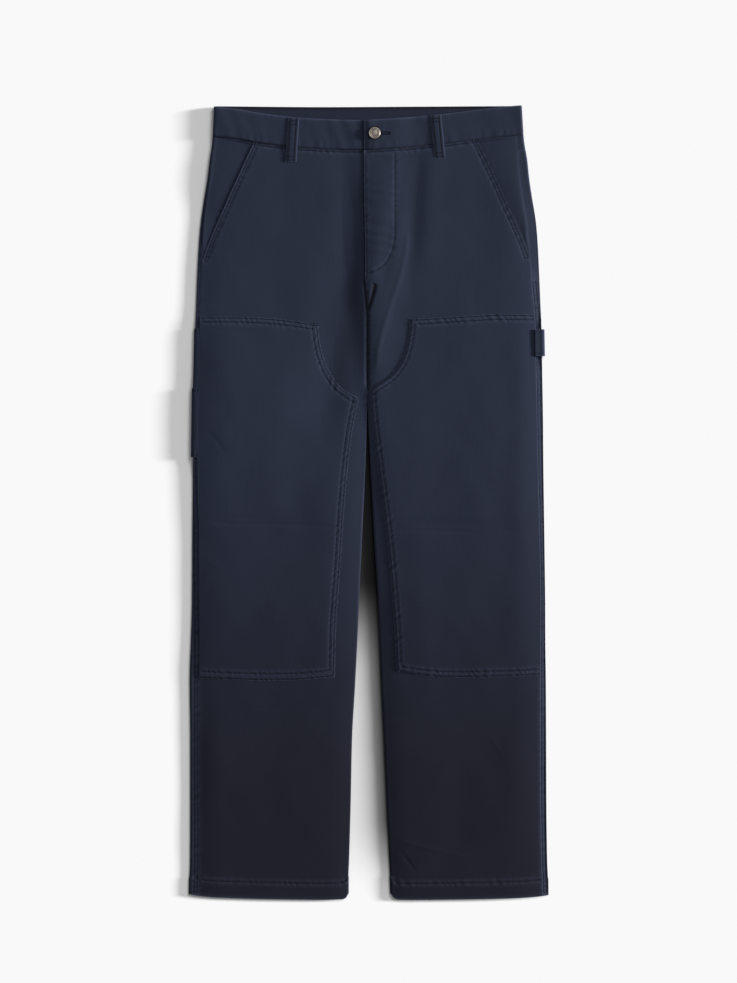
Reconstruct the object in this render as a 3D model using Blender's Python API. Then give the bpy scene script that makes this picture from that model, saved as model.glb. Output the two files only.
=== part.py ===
"""Carpenter trousers, laid flat face up.

The waist points to +Y, the hems to -Y, and the cloth rests on the plane Z = 0.
Right and left are the wearer's, so the right leg lies at -X and the left leg at +X.
Sizes are in millimetres and become metres where a mesh is made.
"""

import math

import bpy

MM = 0.001

# Walls and seams
CLOTH = 1.4
SEAM_GAP = 0.3
BAND_WALL = 2.2
BAND_HEIGHT = 40.0
BAND_SPACE = 2.2
BAND_MIDDLE_Y = 515.0
LOOP_WALL = 1.6
POCKET_WALL = 1.2
HEM_DEPTH = 24.0
HEM_SWELL = 0.6
HEM_STEP = 1.5

# Folded edges: how far the rounding reaches in from the outline
FOLD_REACH = 2.9
BAND_FOLD_REACH = 3.2
CROTCH_Y = 143.8
CROTCH_CREASE = 125.0
CENTRE_BACK_X = -1.35

# Front fly: the left front laps over the right one
FLY_LAP = 36.0
FLY_RISE = 1.8
FLY_END_Y = 303.0
BUTTON_X, BUTTON_Y = 7.7, 498.4
BUTTON_RADIUS = 8.6
BUTTON_SEGMENTS = 24

# Belt loops
LOOP_WIDTH = 14.0
LOOP_STEP = 6.5
FRONT_LOOPS = {
    # name: (x at the top, x at the bottom, y at the bottom)
    "belt_loop_front_right": (-101.5, -104.4, 459.0),
    "belt_loop_front_left": (90.6, 95.2, 465.0),
}
BACK_LOOPS = {
    "belt_loop_back_right": -122.0,
    "belt_loop_back_centre": CENTRE_BACK_X,
    "belt_loop_back_left": 119.0,
}
BACK_LOOP_Y = (470.0, 533.5)

# The waist lies on its back belt loops
WAIST_LIFT = POCKET_WALL + SEAM_GAP
WAIST_LIFT_Y = (385.0, 440.0)

# Tool pocket on the right leg: a tall pocket with a short one over its lower half
TOOL_POCKET_Y = (61.4, 235.2)
SHORT_POCKET_TOP_Y = 154.6
TOOL_POCKET_COLUMN = 10
SHORT_POCKET_COLUMN = 9
# Hammer loop on the left leg
HAMMER_LOOP_Y = (198.0, 234.0)
HAMMER_LOOP_COLUMN = 8
HAMMER_LOOP_SLACK = 2.5

# Heights of the rows along the side seam, with one at each end of what is sewn on there
PATCH_ROWS = {
    -1: (-185.0, -130.0, -75.0, -20.0, 20.0, TOOL_POCKET_Y[0], 100.0),
    +1: (-180.0, -130.0, -75.0, -20.0, 20.0, 60.0, 105.0),
}
CURVE_ROWS = {
    -1: (SHORT_POCKET_TOP_Y, 172.0, 191.0, 212.0, TOOL_POCKET_Y[1]),
    +1: (165.0, 179.0, HAMMER_LOOP_Y[0] - 4.0, 215.0, HAMMER_LOOP_Y[1] + 4.0),
}
FRONT_TOP_ROWS = (268.0, 300.0, 333.0)
WAIST_ROWS = (365.0, 400.0, 438.0)

# How far a lifted patch of the back fades out beside what lies under it
LIFT_FADE = 26.0

# Shares of the back leg's width at its columns, which the sewn on pieces share
BACK_SHARES = (0.32, 0.46, 0.58, 1.0)

OUTLINE = [
    # y, right leg: outer x, inner x, left leg: inner x, outer x
    (-536.0, -242.3, -27.3, 29.8, 242.3),
    (-509.6, -241.9, -27.3, 29.0, 242.1),
    (-482.6, -241.0, -26.3, 27.7, 241.0),
    (-401.6, -240.7, -24.0, 24.3, 239.9),
    (-320.6, -240.7, -22.3, 20.9, 239.6),
    (-239.6, -241.4, -17.8, 16.9, 239.2),
    (-185.6, -239.8, -15.1, 14.9, 238.5),
    (-131.6, -238.3, -12.8, 12.6, 238.3),
    (-50.6, -237.9, -9.0, 7.6, 237.3),
    (57.4, -236.7, -3.9, 2.0, 235.8),
    (111.4, -236.0, -2.2, -0.6, 235.4),
    (143.8, -235.6, -1.35, -1.35, 234.9),
    (192.4, -234.6, -1.6, -1.6, 234.0),
    (246.4, -233.5, -1.4, -1.4, 232.9),
    (268.0, -232.7, -2.2, -2.2, 231.9),
    (300.4, -231.5, -5.0, -5.0, 230.6),
    (354.4, -228.6, -4.9, -4.9, 227.9),
    (381.4, -226.1, -5.5, -5.5, 225.5),
    (408.4, -222.1, -5.9, -5.9, 221.1),
    (435.4, -217.6, -6.1, -6.1, 216.9),
    (462.4, -214.3, -6.2, -6.2, 214.0),
    (489.4, -210.6, -6.4, -6.4, 209.6),
    (536.0, -208.6, -7.0, -7.0, 206.6),
]

OUTSEAM_INSET = [
    # y, right leg, left leg: how far the side seam lies in from the outline
    (-536.0, 13.5, 8.1),
    (-320.6, 12.5, 8.1),
    (-239.6, 13.3, 7.4),
    (-131.6, 9.9, 6.3),
    (-50.6, 9.2, 6.8),
    (57.4, 5.6, 8.0),
    (138.0, 6.0, 8.7),
    (246.4, 6.3, 8.8),
    (300.4, 6.4, 11.0),
    (354.4, 5.4, 13.2),
    (435.4, 4.2, 13.5),
    (496.0, 3.9, 8.5),
]

WAIST_SEAM = [
    # x, y of the seam under the front waistband
    (-210.0, 494.1),
    (-179.0, 491.2),
    (-154.6, 486.6),
    (-133.0, 483.4),
    (-92.5, 479.0),
    (-54.7, 476.9),
    (-8.8, 475.8),
    (39.8, 478.4),
    (83.0, 482.2),
    (110.0, 485.0),
    (143.8, 489.4),
    (177.5, 493.2),
    (208.6, 496.0),
]
BACK_WAIST_SEAM = [(-210.0, 494.1), (0.0, 494.2), (208.6, 496.0)]
BACK_TOP = [(-210.0, 535.0), (-60.0, 533.8), (60.0, 534.4), (208.6, 535.3)]
YOKE_SEAM = [
    (-216.0, 474.5),
    (-110.0, 449.0),
    (CENTRE_BACK_X, 432.0),
    (107.0, 449.0),
    (214.0, 476.0),
]

HEM = [
    # x, y of the bottom edge; the inner corners are rounded
    (-242.3, -527.9),
    (-230.0, -529.9),
    (-205.0, -532.0),
    (-150.0, -533.9),
    (-60.0, -535.2),
    (-36.0, -534.8),
    (-30.5, -532.6),
    (-27.3, -527.0),
    (0.0, -527.0),
    (29.8, -527.0),
    (33.5, -532.4),
    (40.0, -535.0),
    (60.0, -535.3),
    (130.0, -534.6),
    (200.0, -533.0),
    (228.0, -531.3),
    (242.3, -529.3),
]

POCKET_MOUTH = {
    # y, x of the slanted pocket opening
    -1: [
        (320.0, -226.2),
        (329.1, -222.9),
        (354.4, -213.8),
        (383.3, -201.2),
        (415.8, -186.7),
        (490.0, -152.4),
    ],
    +1: [
        (324.0, 221.0),
        (341.7, 214.9),
        (365.2, 205.1),
        (405.0, 187.0),
        (444.8, 168.9),
        (492.0, 145.8),
    ],
}
POCKET_UNDERLAP = 14.0

KNEE_PATCH_INNER = {
    # y, x of the patch's inner edge, with the column carried on past both ends
    -1: [
        (-536.0, -74.0),
        (-380.0, -58.0),
        (-235.2, -45.3),
        (-168.9, -43.6),
        (-82.8, -37.3),
        (19.0, -30.4),
        (91.4, -22.2),
        (124.1, -16.4),
        (140.1, -13.4),
        (150.8, -30.6),
        (162.9, -43.5),
        (180.1, -53.9),
        (193.9, -59.6),
        (209.4, -63.9),
        (226.7, -66.6),
        (241.2, -67.5),
        (330.0, -67.0),
        (500.0, -58.0),
    ],
    +1: [
        (-536.0, 66.0),
        (-380.0, 50.0),
        (-227.0, 37.3),
        (-167.1, 34.2),
        (-91.4, 28.4),
        (-24.0, 21.4),
        (51.7, 11.4),
        (89.6, 6.6),
        (127.4, 2.6),
        (150.8, 1.6),
        (161.2, 14.3),
        (171.5, 29.0),
        (185.2, 40.2),
        (200.7, 47.6),
        (214.5, 51.6),
        (230.0, 54.2),
        (245.6, 55.6),
        (330.0, 52.0),
        (500.0, 46.0),
    ],
}
PATCH_CORNER_Y = {-1: 140.1, +1: 150.8}
KNEE_PATCH_TOP = {
    -1: [(-240.0, 251.6), (-176.0, 251.1), (-134.0, 249.3), (-99.5, 245.6), (-68.0, 241.0), (0.0, 238.0)],
    +1: [(0.0, 246.0), (58.0, 248.0), (109.0, 251.1), (143.0, 253.2), (178.0, 255.0), (240.0, 254.2)],
}
KNEE_PATCH_BOTTOM = {
    -1: [(-242.0, -235.6), (-203.0, -237.7), (-134.0, -239.8), (-99.0, -239.3), (-50.0, -235.2), (-15.0, -233.0)],
    +1: [(15.0, -226.0), (37.0, -227.7), (75.0, -233.4), (113.0, -235.7), (189.0, -234.4), (240.0, -232.0)],
}

SPACE_INSIDE = [
    # y, room between the front and the back cloth
    (-536.0, 1.5),
    (-450.0, 2.2),
    (-240.0, 2.7),
    (0.0, 2.9),
    (144.0, 3.0),
    (300.0, 3.2),
    (500.0, 3.0),
]
LEAST_SPACE, MOST_SPACE = 1.3, 3.8
POCKET_SPACE = 2.2

SOFT_FOLDS = [
    # x, y, half width, half length, lean of the fold in x per y, height
    (-24.0, 300.0, 15.0, 165.0, -0.05, -1.3),
    (62.0, 400.0, 26.0, 90.0, 0.00, 0.6),
    (24.0, 330.0, 10.0, 90.0, 0.18, -0.7),
    (-150.0, -24.0, 46.0, 7.0, 0.0, -0.5),
    (110.0, -30.0, 60.0, 8.0, 0.0, -0.5),
    (90.0, -470.0, 50.0, 12.0, 0.0, 0.4),
]

# Angles of the columns round a fold, and of a wall's edge at the inner fold
ARC_ANGLES = (60.0, 30.0)
RIM_ANGLE = 4.0
FOLD_ANGLES = (
    # degrees from the fold's edge, on the upper side or not
    (90.0, True),
    (60.0, True),
    (30.0, True),
    (0.0, True),
    (30.0, False),
    (60.0, False),
    (90.0, False),
)
PATCH_COLUMNS = 6
FACING_REVEAL = 12.0

# Shares of the lapped band's length at its grid's columns
BAND_FRONT_SHARES = (0.0, 0.14, 0.28, 0.42, 0.56, 0.7, 0.85, 1.0)
BAND_BACK_COLUMNS = 10
BAND_LAP_SHARES = (0.0, 0.2, 0.4, 0.6, 0.8, 1.0)
BAND_LAP_FADE = 36.0


def smoothstep(t):
    t = min(1.0, max(0.0, t))
    return t * t * (3.0 - 2.0 * t)


def mix(a, b, t):
    return a + (b - a) * t


def curve(table, at, column=1):
    """A smooth curve through a table's rows, without overshoot between them."""
    if at <= table[0][0]:
        return table[0][column]
    if at >= table[-1][0]:
        return table[-1][column]
    i = next(k for k in range(len(table) - 1) if at <= table[k + 1][0])

    def slope(k):
        if k < 0 or k >= len(table) - 1:
            return 0.0
        return (table[k + 1][column] - table[k][column]) / (table[k + 1][0] - table[k][0])

    def tangent(k):
        before, after = slope(k - 1), slope(k)
        if k == 0:
            return after
        if k == len(table) - 1:
            return before
        if before * after <= 0.0:
            return 0.0
        return 2.0 * before * after / (before + after)

    width = table[i + 1][0] - table[i][0]
    t = (at - table[i][0]) / width
    low, high = table[i][column], table[i + 1][column]
    return (
        (1 + 2 * t) * (1 - t) ** 2 * low
        + t * (1 - t) ** 2 * width * tangent(i)
        + t * t * (3 - 2 * t) * high
        + t * t * (t - 1) * width * tangent(i + 1)
    )


# Outlines in plan: side is -1 for the right leg and +1 for the left leg


def outer_edge(side, y):
    return curve(OUTLINE, y, 1 if side < 0 else 4)


def inner_edge(side, y, upper=True):
    """The leg's inner outline, and above the crotch the middle seam of the front or the back."""
    if y > CROTCH_Y and not upper:
        return CENTRE_BACK_X
    return curve(OUTLINE, y, 2 if side < 0 else 3)


def outseam(side, y):
    return outer_edge(side, y) - side * curve(OUTSEAM_INSET, y, 1 if side < 0 else 2)


def inner_reach(y):
    """How far the rounding of the inner fold reaches, which is least at the crotch."""
    return mix(1.7, FOLD_REACH, smoothstep((CROTCH_Y - y) / 200.0))


def crotch_share(y):
    """1 in the legs, 0 above the crease that runs up from the crotch."""
    return 1.0 - smoothstep((y - CROTCH_Y) / CROTCH_CREASE)


# Heights


def box_share(x, y, x_range, y_range):
    """1 in a box in plan, and 0 from LIFT_FADE outside it."""
    away_x = max(x_range[0] - x, x - x_range[1], 0.0)
    away_y = max(y_range[0] - y, y - y_range[1], 0.0)
    return smoothstep(1.0 - math.hypot(away_x, away_y) / LIFT_FADE)


def lift(x, y):
    """How far the back is held off the surface by the pieces sewn under it."""
    step = POCKET_WALL + SEAM_GAP
    tall = box_share(x, y, (-260.0, -100.0), TOOL_POCKET_Y)
    short = box_share(x, y, (-260.0, -122.0), (TOOL_POCKET_Y[0], SHORT_POCKET_TOP_Y))
    hammer = box_share(x, y, (130.0, 260.0), HAMMER_LOOP_Y)
    waist = smoothstep((y - WAIST_LIFT_Y[0]) / (WAIST_LIFT_Y[1] - WAIST_LIFT_Y[0]))
    return step * (tall + short + hammer) + WAIST_LIFT * waist


def fold_height(fold, x, y):
    centre_x, centre_y, half_width, half_length, lean, height = fold
    across = (x - centre_x - lean * (y - centre_y)) / half_width
    along = (y - centre_y) / half_length
    return height * math.exp(-across * across) * math.exp(-(along**4))


def space_inside(x, y):
    side = -1 if x < inner_edge(-1, y) else 1
    from_outside = abs(outer_edge(side, y) - x)
    from_inside = abs(x - inner_edge(side, y))
    space = curve(SPACE_INSIDE, y)
    space *= 1.0 - 0.30 * math.exp(-((from_outside / 22.0) ** 2))
    space *= 1.0 - 0.25 * crotch_share(y) * math.exp(-((from_inside / 14.0) ** 2))
    space += sum(fold_height(fold, x, y) for fold in SOFT_FOLDS)
    least = mix(LEAST_SPACE, POCKET_SPACE, smoothstep((y - 290.0) / 35.0))
    return min(MOST_SPACE, max(least, space))


def fly_rise(x, y):
    """The left front lies this much higher where it laps over the fly shield."""
    from_edge = x - inner_edge(1, y)
    across = 1.0 - smoothstep((from_edge - FLY_LAP - 3.0) / 24.0)
    along = smoothstep((y - FLY_END_Y + 26.0) / 18.0)
    return FLY_RISE * across * along


def cloth_point(side, x, y, upper, offset=0.0, lapped=True):
    """A point on the trousers' outer surface, moved out by offset, as (x, y, z)."""
    bottom = lift(x, y)
    half = CLOTH + space_inside(x, y) / 2.0
    reach_in = inner_reach(y)
    cos_out = max(0.0, 1.0 - abs(outer_edge(side, y) - x) / FOLD_REACH)
    cos_in = max(0.0, 1.0 - abs(x - inner_edge(side, y, upper)) / reach_in)
    share = crotch_share(y)
    rise = math.sqrt(1.0 - min(1.0, cos_out) ** 2)
    rise *= 1.0 - share * (1.0 - math.sqrt(1.0 - min(1.0, cos_in) ** 2))
    across = x + side * offset * (cos_out - share * cos_in)
    height = half + offset
    if upper and side > 0 and lapped:
        height += fly_rise(x, y)
    return (across, y, bottom + half + (height if upper else -height) * rise)


def band_half():
    return BAND_WALL + BAND_SPACE / 2.0


def band_edge(side, y):
    return outer_edge(side, max(y, 500.0))


def band_point(side, x, y, upper, offset=0.0, raised=0.0):
    bottom = lift(x, y)
    half = band_half()
    cos_out = max(0.0, 1.0 - abs(band_edge(side, y) - x) / BAND_FOLD_REACH)
    rise = math.sqrt(1.0 - min(1.0, cos_out) ** 2)
    height = half + offset
    across = x + side * offset * cos_out
    z = bottom + half + (height if upper else -height) * rise
    return (across, y, z + (raised if upper else 0.0))


# Solids


def material(name, colour, roughness=0.9, metallic=0.0):
    made = bpy.data.materials.get(name)
    if made is None:
        made = bpy.data.materials.new(name)
        made.use_nodes = True
        shader = made.node_tree.nodes["Principled BSDF"]
        shader.inputs["Base Color"].default_value = (*colour, 1.0)
        shader.inputs["Roughness"].default_value = roughness
        shader.inputs["Metallic"].default_value = metallic
    return made


def navy_canvas():
    return material("navy_canvas", (0.022, 0.028, 0.050))


def aged_metal():
    return material("aged_metal", (0.42, 0.38, 0.34), 0.35, 1.0)


def signed_volume(points, faces):
    total = 0.0
    for face in faces:
        for k in range(1, len(face) - 1):
            a, b, c = points[face[0]], points[face[k]], points[face[k + 1]]
            total += (
                a[0] * (b[1] * c[2] - b[2] * c[1])
                + a[1] * (b[2] * c[0] - b[0] * c[2])
                + a[2] * (b[0] * c[1] - b[1] * c[0])
            )
    return total


def add_object(name, points, faces, finish):
    if signed_volume(points, faces) < 0.0:
        faces = [tuple(reversed(face)) for face in faces]
    mesh = bpy.data.meshes.new(name)
    mesh.from_pydata([tuple(c * MM for c in p) for p in points], [], faces)
    mesh.materials.append(finish)
    mesh.shade_smooth()
    mesh.set_sharp_from_angle(angle=math.radians(50.0))
    made = bpy.data.objects.new(name, mesh)
    bpy.context.scene.collection.objects.link(made)
    return made


def wall(name, outside, inside, finish):
    """A closed wall between two grids of points with the same rows and columns."""
    rows, columns = len(outside), len(outside[0])
    points = [p for row in outside for p in row] + [p for row in inside for p in row]
    under = rows * columns

    def at(i, j):
        return i * columns + j

    faces = []
    for i in range(rows - 1):
        for j in range(columns - 1):
            a, b, c, d = at(i, j), at(i, j + 1), at(i + 1, j + 1), at(i + 1, j)
            for half in ((a, b, c), (a, c, d)):
                faces.append(half)
                faces.append(tuple(under + k for k in reversed(half)))
    rim = [(at(0, j), at(0, j + 1)) for j in range(columns - 1)]
    rim += [(at(i, columns - 1), at(i + 1, columns - 1)) for i in range(rows - 1)]
    rim += [(at(rows - 1, j + 1), at(rows - 1, j)) for j in reversed(range(columns - 1))]
    rim += [(at(i + 1, 0), at(i, 0)) for i in reversed(range(rows - 1))]
    faces += [(b, a, under + a, under + b) for a, b in rim]
    return add_object(name, points, faces, finish)


# Grids: a row gives y for an x, a column gives x for a y, and they cross at a grid point


def crossing(row, column):
    x = column(0.0)
    for _ in range(12):
        y = row(x)
        x = column(y)
    return x, y


def rows_between(low, high, count, with_high=True):
    """Rows spread evenly from one row to another."""
    shares = [k / count for k in range(count + (1 if with_high else 0))]
    return [lambda x, t=t: mix(low(x), high(x), t) for t in shares]


def level(y):
    return lambda x: y


def arc(reach, angle):
    return reach * (1.0 - math.cos(math.radians(angle)))


# Front panels


def front_outer_column(side):
    """The side seam, or the pocket mouth where that lies further in."""

    def column(y):
        mouth = curve(POCKET_MOUTH[side], y) if y > POCKET_MOUTH[side][0][0] else side * 999.0
        return -side * max(-side * outseam(side, y), -side * mouth) - side * SEAM_GAP / 2.0

    return column


def front_columns(side):
    """Columns from the side seam to the patch's inner edge, and on to the middle."""
    outer = front_outer_column(side)

    def patch(y):
        return curve(KNEE_PATCH_INNER[side], y)

    def inner(y):
        return inner_edge(side, y) + side * SEAM_GAP / 2.0

    def flat_end(y):
        return inner(y) + side * inner_reach(y)

    columns = [
        lambda y, t=k / PATCH_COLUMNS: mix(outer(y), patch(y), t)
        for k in range(PATCH_COLUMNS + 1)
    ]
    columns += [lambda y, t=k / 3: mix(patch(y), flat_end(y), t) for k in (1, 2, 3)]
    for angle in (*ARC_ANGLES, RIM_ANGLE):
        columns.append(lambda y, angle=angle: inner(y) + side * arc(inner_reach(y), angle))
    return columns


def seam_height(side, row):
    """The y at which a row meets the side seam."""
    return crossing(row, lambda y: outseam(side, y))[1]


def rows_at(side, low, high, levels):
    """Rows between two rows, each at its level on the side seam."""
    start, end = seam_height(side, low), seam_height(side, high)
    shares = [(y - start) / (end - start) for y in levels]
    return [lambda x, t=t: mix(low(x), high(x), t) for t in shares]


def front_rows(side):
    """Rows from the hem to the waist seam, and the numbers of some of them."""

    def hem(x):
        return curve(HEM, x)

    def hem_top(x):
        return hem(x) + HEM_DEPTH + HEM_STEP

    def patch_bottom(x):
        return curve(KNEE_PATCH_BOTTOM[side], x)

    def patch_top(x):
        return curve(KNEE_PATCH_TOP[side], x)

    def waist(x):
        return curve(WAIST_SEAM, x) - SEAM_GAP / 2.0

    corner = level(PATCH_CORNER_Y[side])
    top = level(FRONT_TOP_ROWS[-1])
    yoke_level = seam_height(side, lambda x: curve(YOKE_SEAM, x))
    rows = [hem, lambda x: hem(x) + HEM_DEPTH] + rows_between(hem_top, patch_bottom, 4, False)
    number = {"patch_bottom": len(rows)}
    rows += [patch_bottom] + rows_at(side, patch_bottom, corner, PATCH_ROWS[side])
    rows += [corner] + rows_at(side, corner, patch_top, CURVE_ROWS[side])
    number["patch_top"] = len(rows)
    rows += [patch_top] + [level(y) for y in FRONT_TOP_ROWS]
    number["pocket_end"] = len(rows) - 1
    rows += rows_at(side, top, waist, (*WAIST_ROWS, yoke_level)) + [waist]
    number["yoke"] = len(rows) - 2
    return rows, number


def plan_grid(rows, columns):
    return [[crossing(row, column) for column in columns] for row in rows]


def front_panel(side, name):
    rows, number = front_rows(side)
    columns = front_columns(side)
    plan = plan_grid(rows, columns)
    outside = [
        [cloth_point(side, x, y, True, HEM_SWELL if i < 2 else 0.0) for x, y in row]
        for i, row in enumerate(plan)
    ]
    inside = [[cloth_point(side, x, y, True, -CLOTH) for x, y in row] for row in plan]
    wall(name, outside, inside, navy_canvas())
    return plan, number


def knee_patch(side, name, plan, number):
    """The second layer over the knee, from the panel's own points."""
    rows = plan[number["patch_bottom"] : number["patch_top"] + 1]
    points = [row[: PATCH_COLUMNS + 1] for row in rows]
    outside = [
        [cloth_point(side, x, y, True, SEAM_GAP + CLOTH) for x, y in row] for row in points
    ]
    inside = [[cloth_point(side, x, y, True, SEAM_GAP) for x, y in row] for row in points]
    wall(name, outside, inside, navy_canvas())


def facing_drop(share, width):
    """How far the facing lies under the front: fully at the mouth and where it is narrow."""
    full = CLOTH + SEAM_GAP + 0.1
    return full * max(smoothstep(share), 1.0 - smoothstep(width / FACING_REVEAL))


def pocket_facing(side, name):
    """The side piece that shows behind the slanted pocket mouth and runs on under the front."""
    rows, number = front_rows(side)

    def seam(y):
        return outseam(side, y) - side * SEAM_GAP / 2.0

    def mouth(y):
        return -side * max(-side * curve(POCKET_MOUTH[side], y), -side * seam(y) + 0.5)

    columns = [lambda y, t=k / 3: mix(seam(y), mouth(y), t) for k in range(4)]
    columns.append(lambda y: mouth(y) - side * POCKET_UNDERLAP)
    plan = plan_grid(rows[number["pocket_end"] :], columns)
    shares = (0.0, 1 / 3, 2 / 3, 1.0, 1.0)
    outside, inside = [], []
    for row in plan:
        width = abs(row[0][0] - row[3][0])
        drops = [facing_drop(share, width) for share in shares]
        outside.append([cloth_point(side, x, y, True, -d) for (x, y), d in zip(row, drops)])
        inside.append(
            [cloth_point(side, x, y, True, -d - POCKET_WALL) for (x, y), d in zip(row, drops)]
        )
    wall(name, outside, inside, navy_canvas())


def fly_shield(name):
    """The strip under the lapped left front, sewn to the right front's edge."""
    rows, number = front_rows(1)
    columns = [
        lambda y, t=k / 3: inner_edge(1, y) + SEAM_GAP / 2.0 + t * FLY_LAP for k in range(4)
    ]
    plan = plan_grid(rows[number["pocket_end"] - 1 :], columns)
    outside = [[cloth_point(1, x, y, True, 0.0, False) for x, y in row] for row in plan]
    inside = [
        [cloth_point(1, x, y, True, -POCKET_WALL, False) for x, y in row] for row in plan
    ]
    wall(name, outside, inside, navy_canvas())


# Back panels


def back_columns(side):
    """Columns as (x for a y, upper or not): from the side seam over the fold and under the leg."""

    def outer(y):
        return outer_edge(side, y)

    def inner(y):
        return inner_edge(side, y, False) + side * SEAM_GAP / 2.0

    def flat_end(y):
        return inner(y) + side * inner_reach(y)

    columns = [(lambda y: outseam(side, y) + side * SEAM_GAP / 2.0, True)]
    for angle, upper in FOLD_ANGLES:
        columns.append((lambda y, a=angle: outer(y) - side * arc(FOLD_REACH, a), upper))
    for share in BACK_SHARES:
        columns.append(
            (lambda y, t=share: mix(outer(y) - side * FOLD_REACH, flat_end(y), t), False)
        )
    for angle in (*ARC_ANGLES, RIM_ANGLE):
        columns.append((lambda y, a=angle: inner(y) + side * arc(inner_reach(y), a), False))
    return columns


def back_rows(side):
    """Rows from the hem to the yoke, which meet the front's rows at the side seam."""
    rows, number = front_rows(side)

    def yoke(x):
        return curve(YOKE_SEAM, x) - SEAM_GAP / 2.0

    legs = [level(seam_height(side, row)) for row in rows[3 : number["yoke"] - 1]]
    return rows[:3] + legs + rows_at(side, legs[-1], yoke, WAIST_ROWS[-1:]) + [yoke]


def row_at(side, y):
    """The number of the back's row whose height on the side seam is y."""
    heights = [seam_height(side, row) for row in back_rows(side)]
    return min(range(len(heights)), key=lambda k: abs(heights[k] - y))


def back_grid(side, rows):
    return [
        [(*crossing(row, column), upper) for column, upper in back_columns(side)]
        for row in rows
    ]


def back_wall(side, name, plan, out, inn, swell_rows=0):
    outside = [
        [
            cloth_point(side, x, y, upper, out + (HEM_SWELL if upper and i < swell_rows else 0.0))
            for x, y, upper in row
        ]
        for i, row in enumerate(plan)
    ]
    inside = [[cloth_point(side, x, y, upper, inn) for x, y, upper in row] for row in plan]
    wall(name, outside, inside, navy_canvas())


def back_panel(side, name):
    plan = back_grid(side, back_rows(side))
    back_wall(side, name, plan, 0.0, -CLOTH, 2)
    return plan


def back_yoke(side, name):
    """The shaped piece between the waistband and the back leg."""

    def low(x):
        return curve(YOKE_SEAM, x) + SEAM_GAP / 2.0

    def front_high(x):
        return curve(WAIST_SEAM, x) - SEAM_GAP / 2.0

    def back_high(x):
        return curve(BACK_WAIST_SEAM, x) - SEAM_GAP / 2.0

    columns = back_columns(side)
    plan = [
        [(*crossing(low, column), upper) for column, upper in columns],
        [
            (*crossing(front_high if upper else back_high, column), upper)
            for column, upper in columns
        ],
    ]
    back_wall(side, name, plan, 0.0, -CLOTH)


def tool_pockets(plan):
    """The tall tool pocket, and the short one over its lower half, under the right leg's fold."""
    low, high = (row_at(-1, y) for y in TOOL_POCKET_Y)
    short_top = row_at(-1, SHORT_POCKET_TOP_Y)
    tall = [row[: TOOL_POCKET_COLUMN + 1] for row in plan[low : high + 1]]
    short = [row[: SHORT_POCKET_COLUMN + 1] for row in plan[low : short_top + 1]]
    step = POCKET_WALL + SEAM_GAP
    back_wall(-1, "tool_pocket", tall, step, SEAM_GAP)
    back_wall(-1, "tool_pocket_short", short, 2 * step, step + SEAM_GAP)


def hammer_loop(name):
    """A strap from the left side seam round the fold, standing off it, to the back."""
    columns = back_columns(1)[: HAMMER_LOOP_COLUMN + 1]
    rows = rows_between(level(HAMMER_LOOP_Y[0]), level(HAMMER_LOOP_Y[1]), 3)
    outside, inside = [], []
    for row in rows:
        outer_row, inner_row = [], []
        for column, upper in columns:
            x, y = crossing(row, column)
            cos_out = max(0.0, 1.0 - abs(outer_edge(1, y) - x) / FOLD_REACH)
            away = SEAM_GAP + HAMMER_LOOP_SLACK * cos_out**2
            outer_row.append(cloth_point(1, x, y, upper, away + POCKET_WALL))
            inner_row.append(cloth_point(1, x, y, upper, away))
        outside.append(outer_row)
        inside.append(inner_row)
    wall(name, outside, inside, navy_canvas())


# Waistband, belt loops and button


def band_stations():
    """Columns round the band as (side, x for a y, upper, raised), from its end under the lap."""
    stations = []

    def start(y):
        return inner_edge(1, y)

    def flat_end(side, y):
        return band_edge(side, y) - side * BAND_FOLD_REACH

    def add(side, upper, raised, column):
        stations.append((side, column, upper, raised))

    def add_fold(side, angles):
        for angle, upper in angles:
            add(
                side,
                upper,
                0.0,
                lambda y, a=angle: band_edge(side, y) - side * arc(BAND_FOLD_REACH, a),
            )

    raised = BAND_WALL + SEAM_GAP
    for share in (1.0, 0.5):
        add(1, True, 0.0, lambda y, t=share: start(y) + t * FLY_LAP)
    for share in BAND_FRONT_SHARES:
        add(-1, True, 0.0, lambda y, t=share: mix(start(y), flat_end(-1, y), t))
    add_fold(-1, FOLD_ANGLES[1:-1])
    for k in range(BAND_BACK_COLUMNS + 1):
        share = k / BAND_BACK_COLUMNS
        side = -1 if share <= 0.5 else 1
        add(side, False, 0.0, lambda y, t=share: mix(flat_end(-1, y), flat_end(1, y), t))
    add_fold(1, reversed(FOLD_ANGLES[1:-1]))
    for share in BAND_LAP_SHARES:
        add(
            1,
            True,
            0.0,
            lambda y, t=share: mix(flat_end(1, y), start(y) + FLY_LAP + BAND_LAP_FADE, t),
        )
    add(1, True, raised / 2.0, lambda y: start(y) + FLY_LAP + BAND_LAP_FADE / 2.0)
    add(1, True, raised, lambda y: start(y) + FLY_LAP + 2.0)
    for share in (0.5, 0.0):
        add(1, True, raised, lambda y, t=share: start(y) + t * FLY_LAP)
    return stations


def band_span(x, share_front):
    """Low and high y of the band, between the back's and the front's."""
    back = (curve(BACK_WAIST_SEAM, x) + SEAM_GAP / 2.0, curve(BACK_TOP, x))
    low = curve(WAIST_SEAM, x) + SEAM_GAP / 2.0
    front = (low, low + BAND_HEIGHT)
    return [mix(b, f, share_front) for b, f in zip(back, front)]


def band_place(side, column, upper, share):
    """Where a column of the band lies at a share of the band's height."""
    y = BAND_MIDDLE_Y
    for _ in range(6):
        x = column(y)
        cos_out = max(0.0, 1.0 - abs(band_edge(side, y) - x) / BAND_FOLD_REACH)
        turn = math.sqrt(1.0 - min(1.0, cos_out) ** 2)
        low, high = band_span(x, 0.5 + 0.5 * (turn if upper else -turn))
        y = mix(low, high, share)
    return column(y), y


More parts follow.
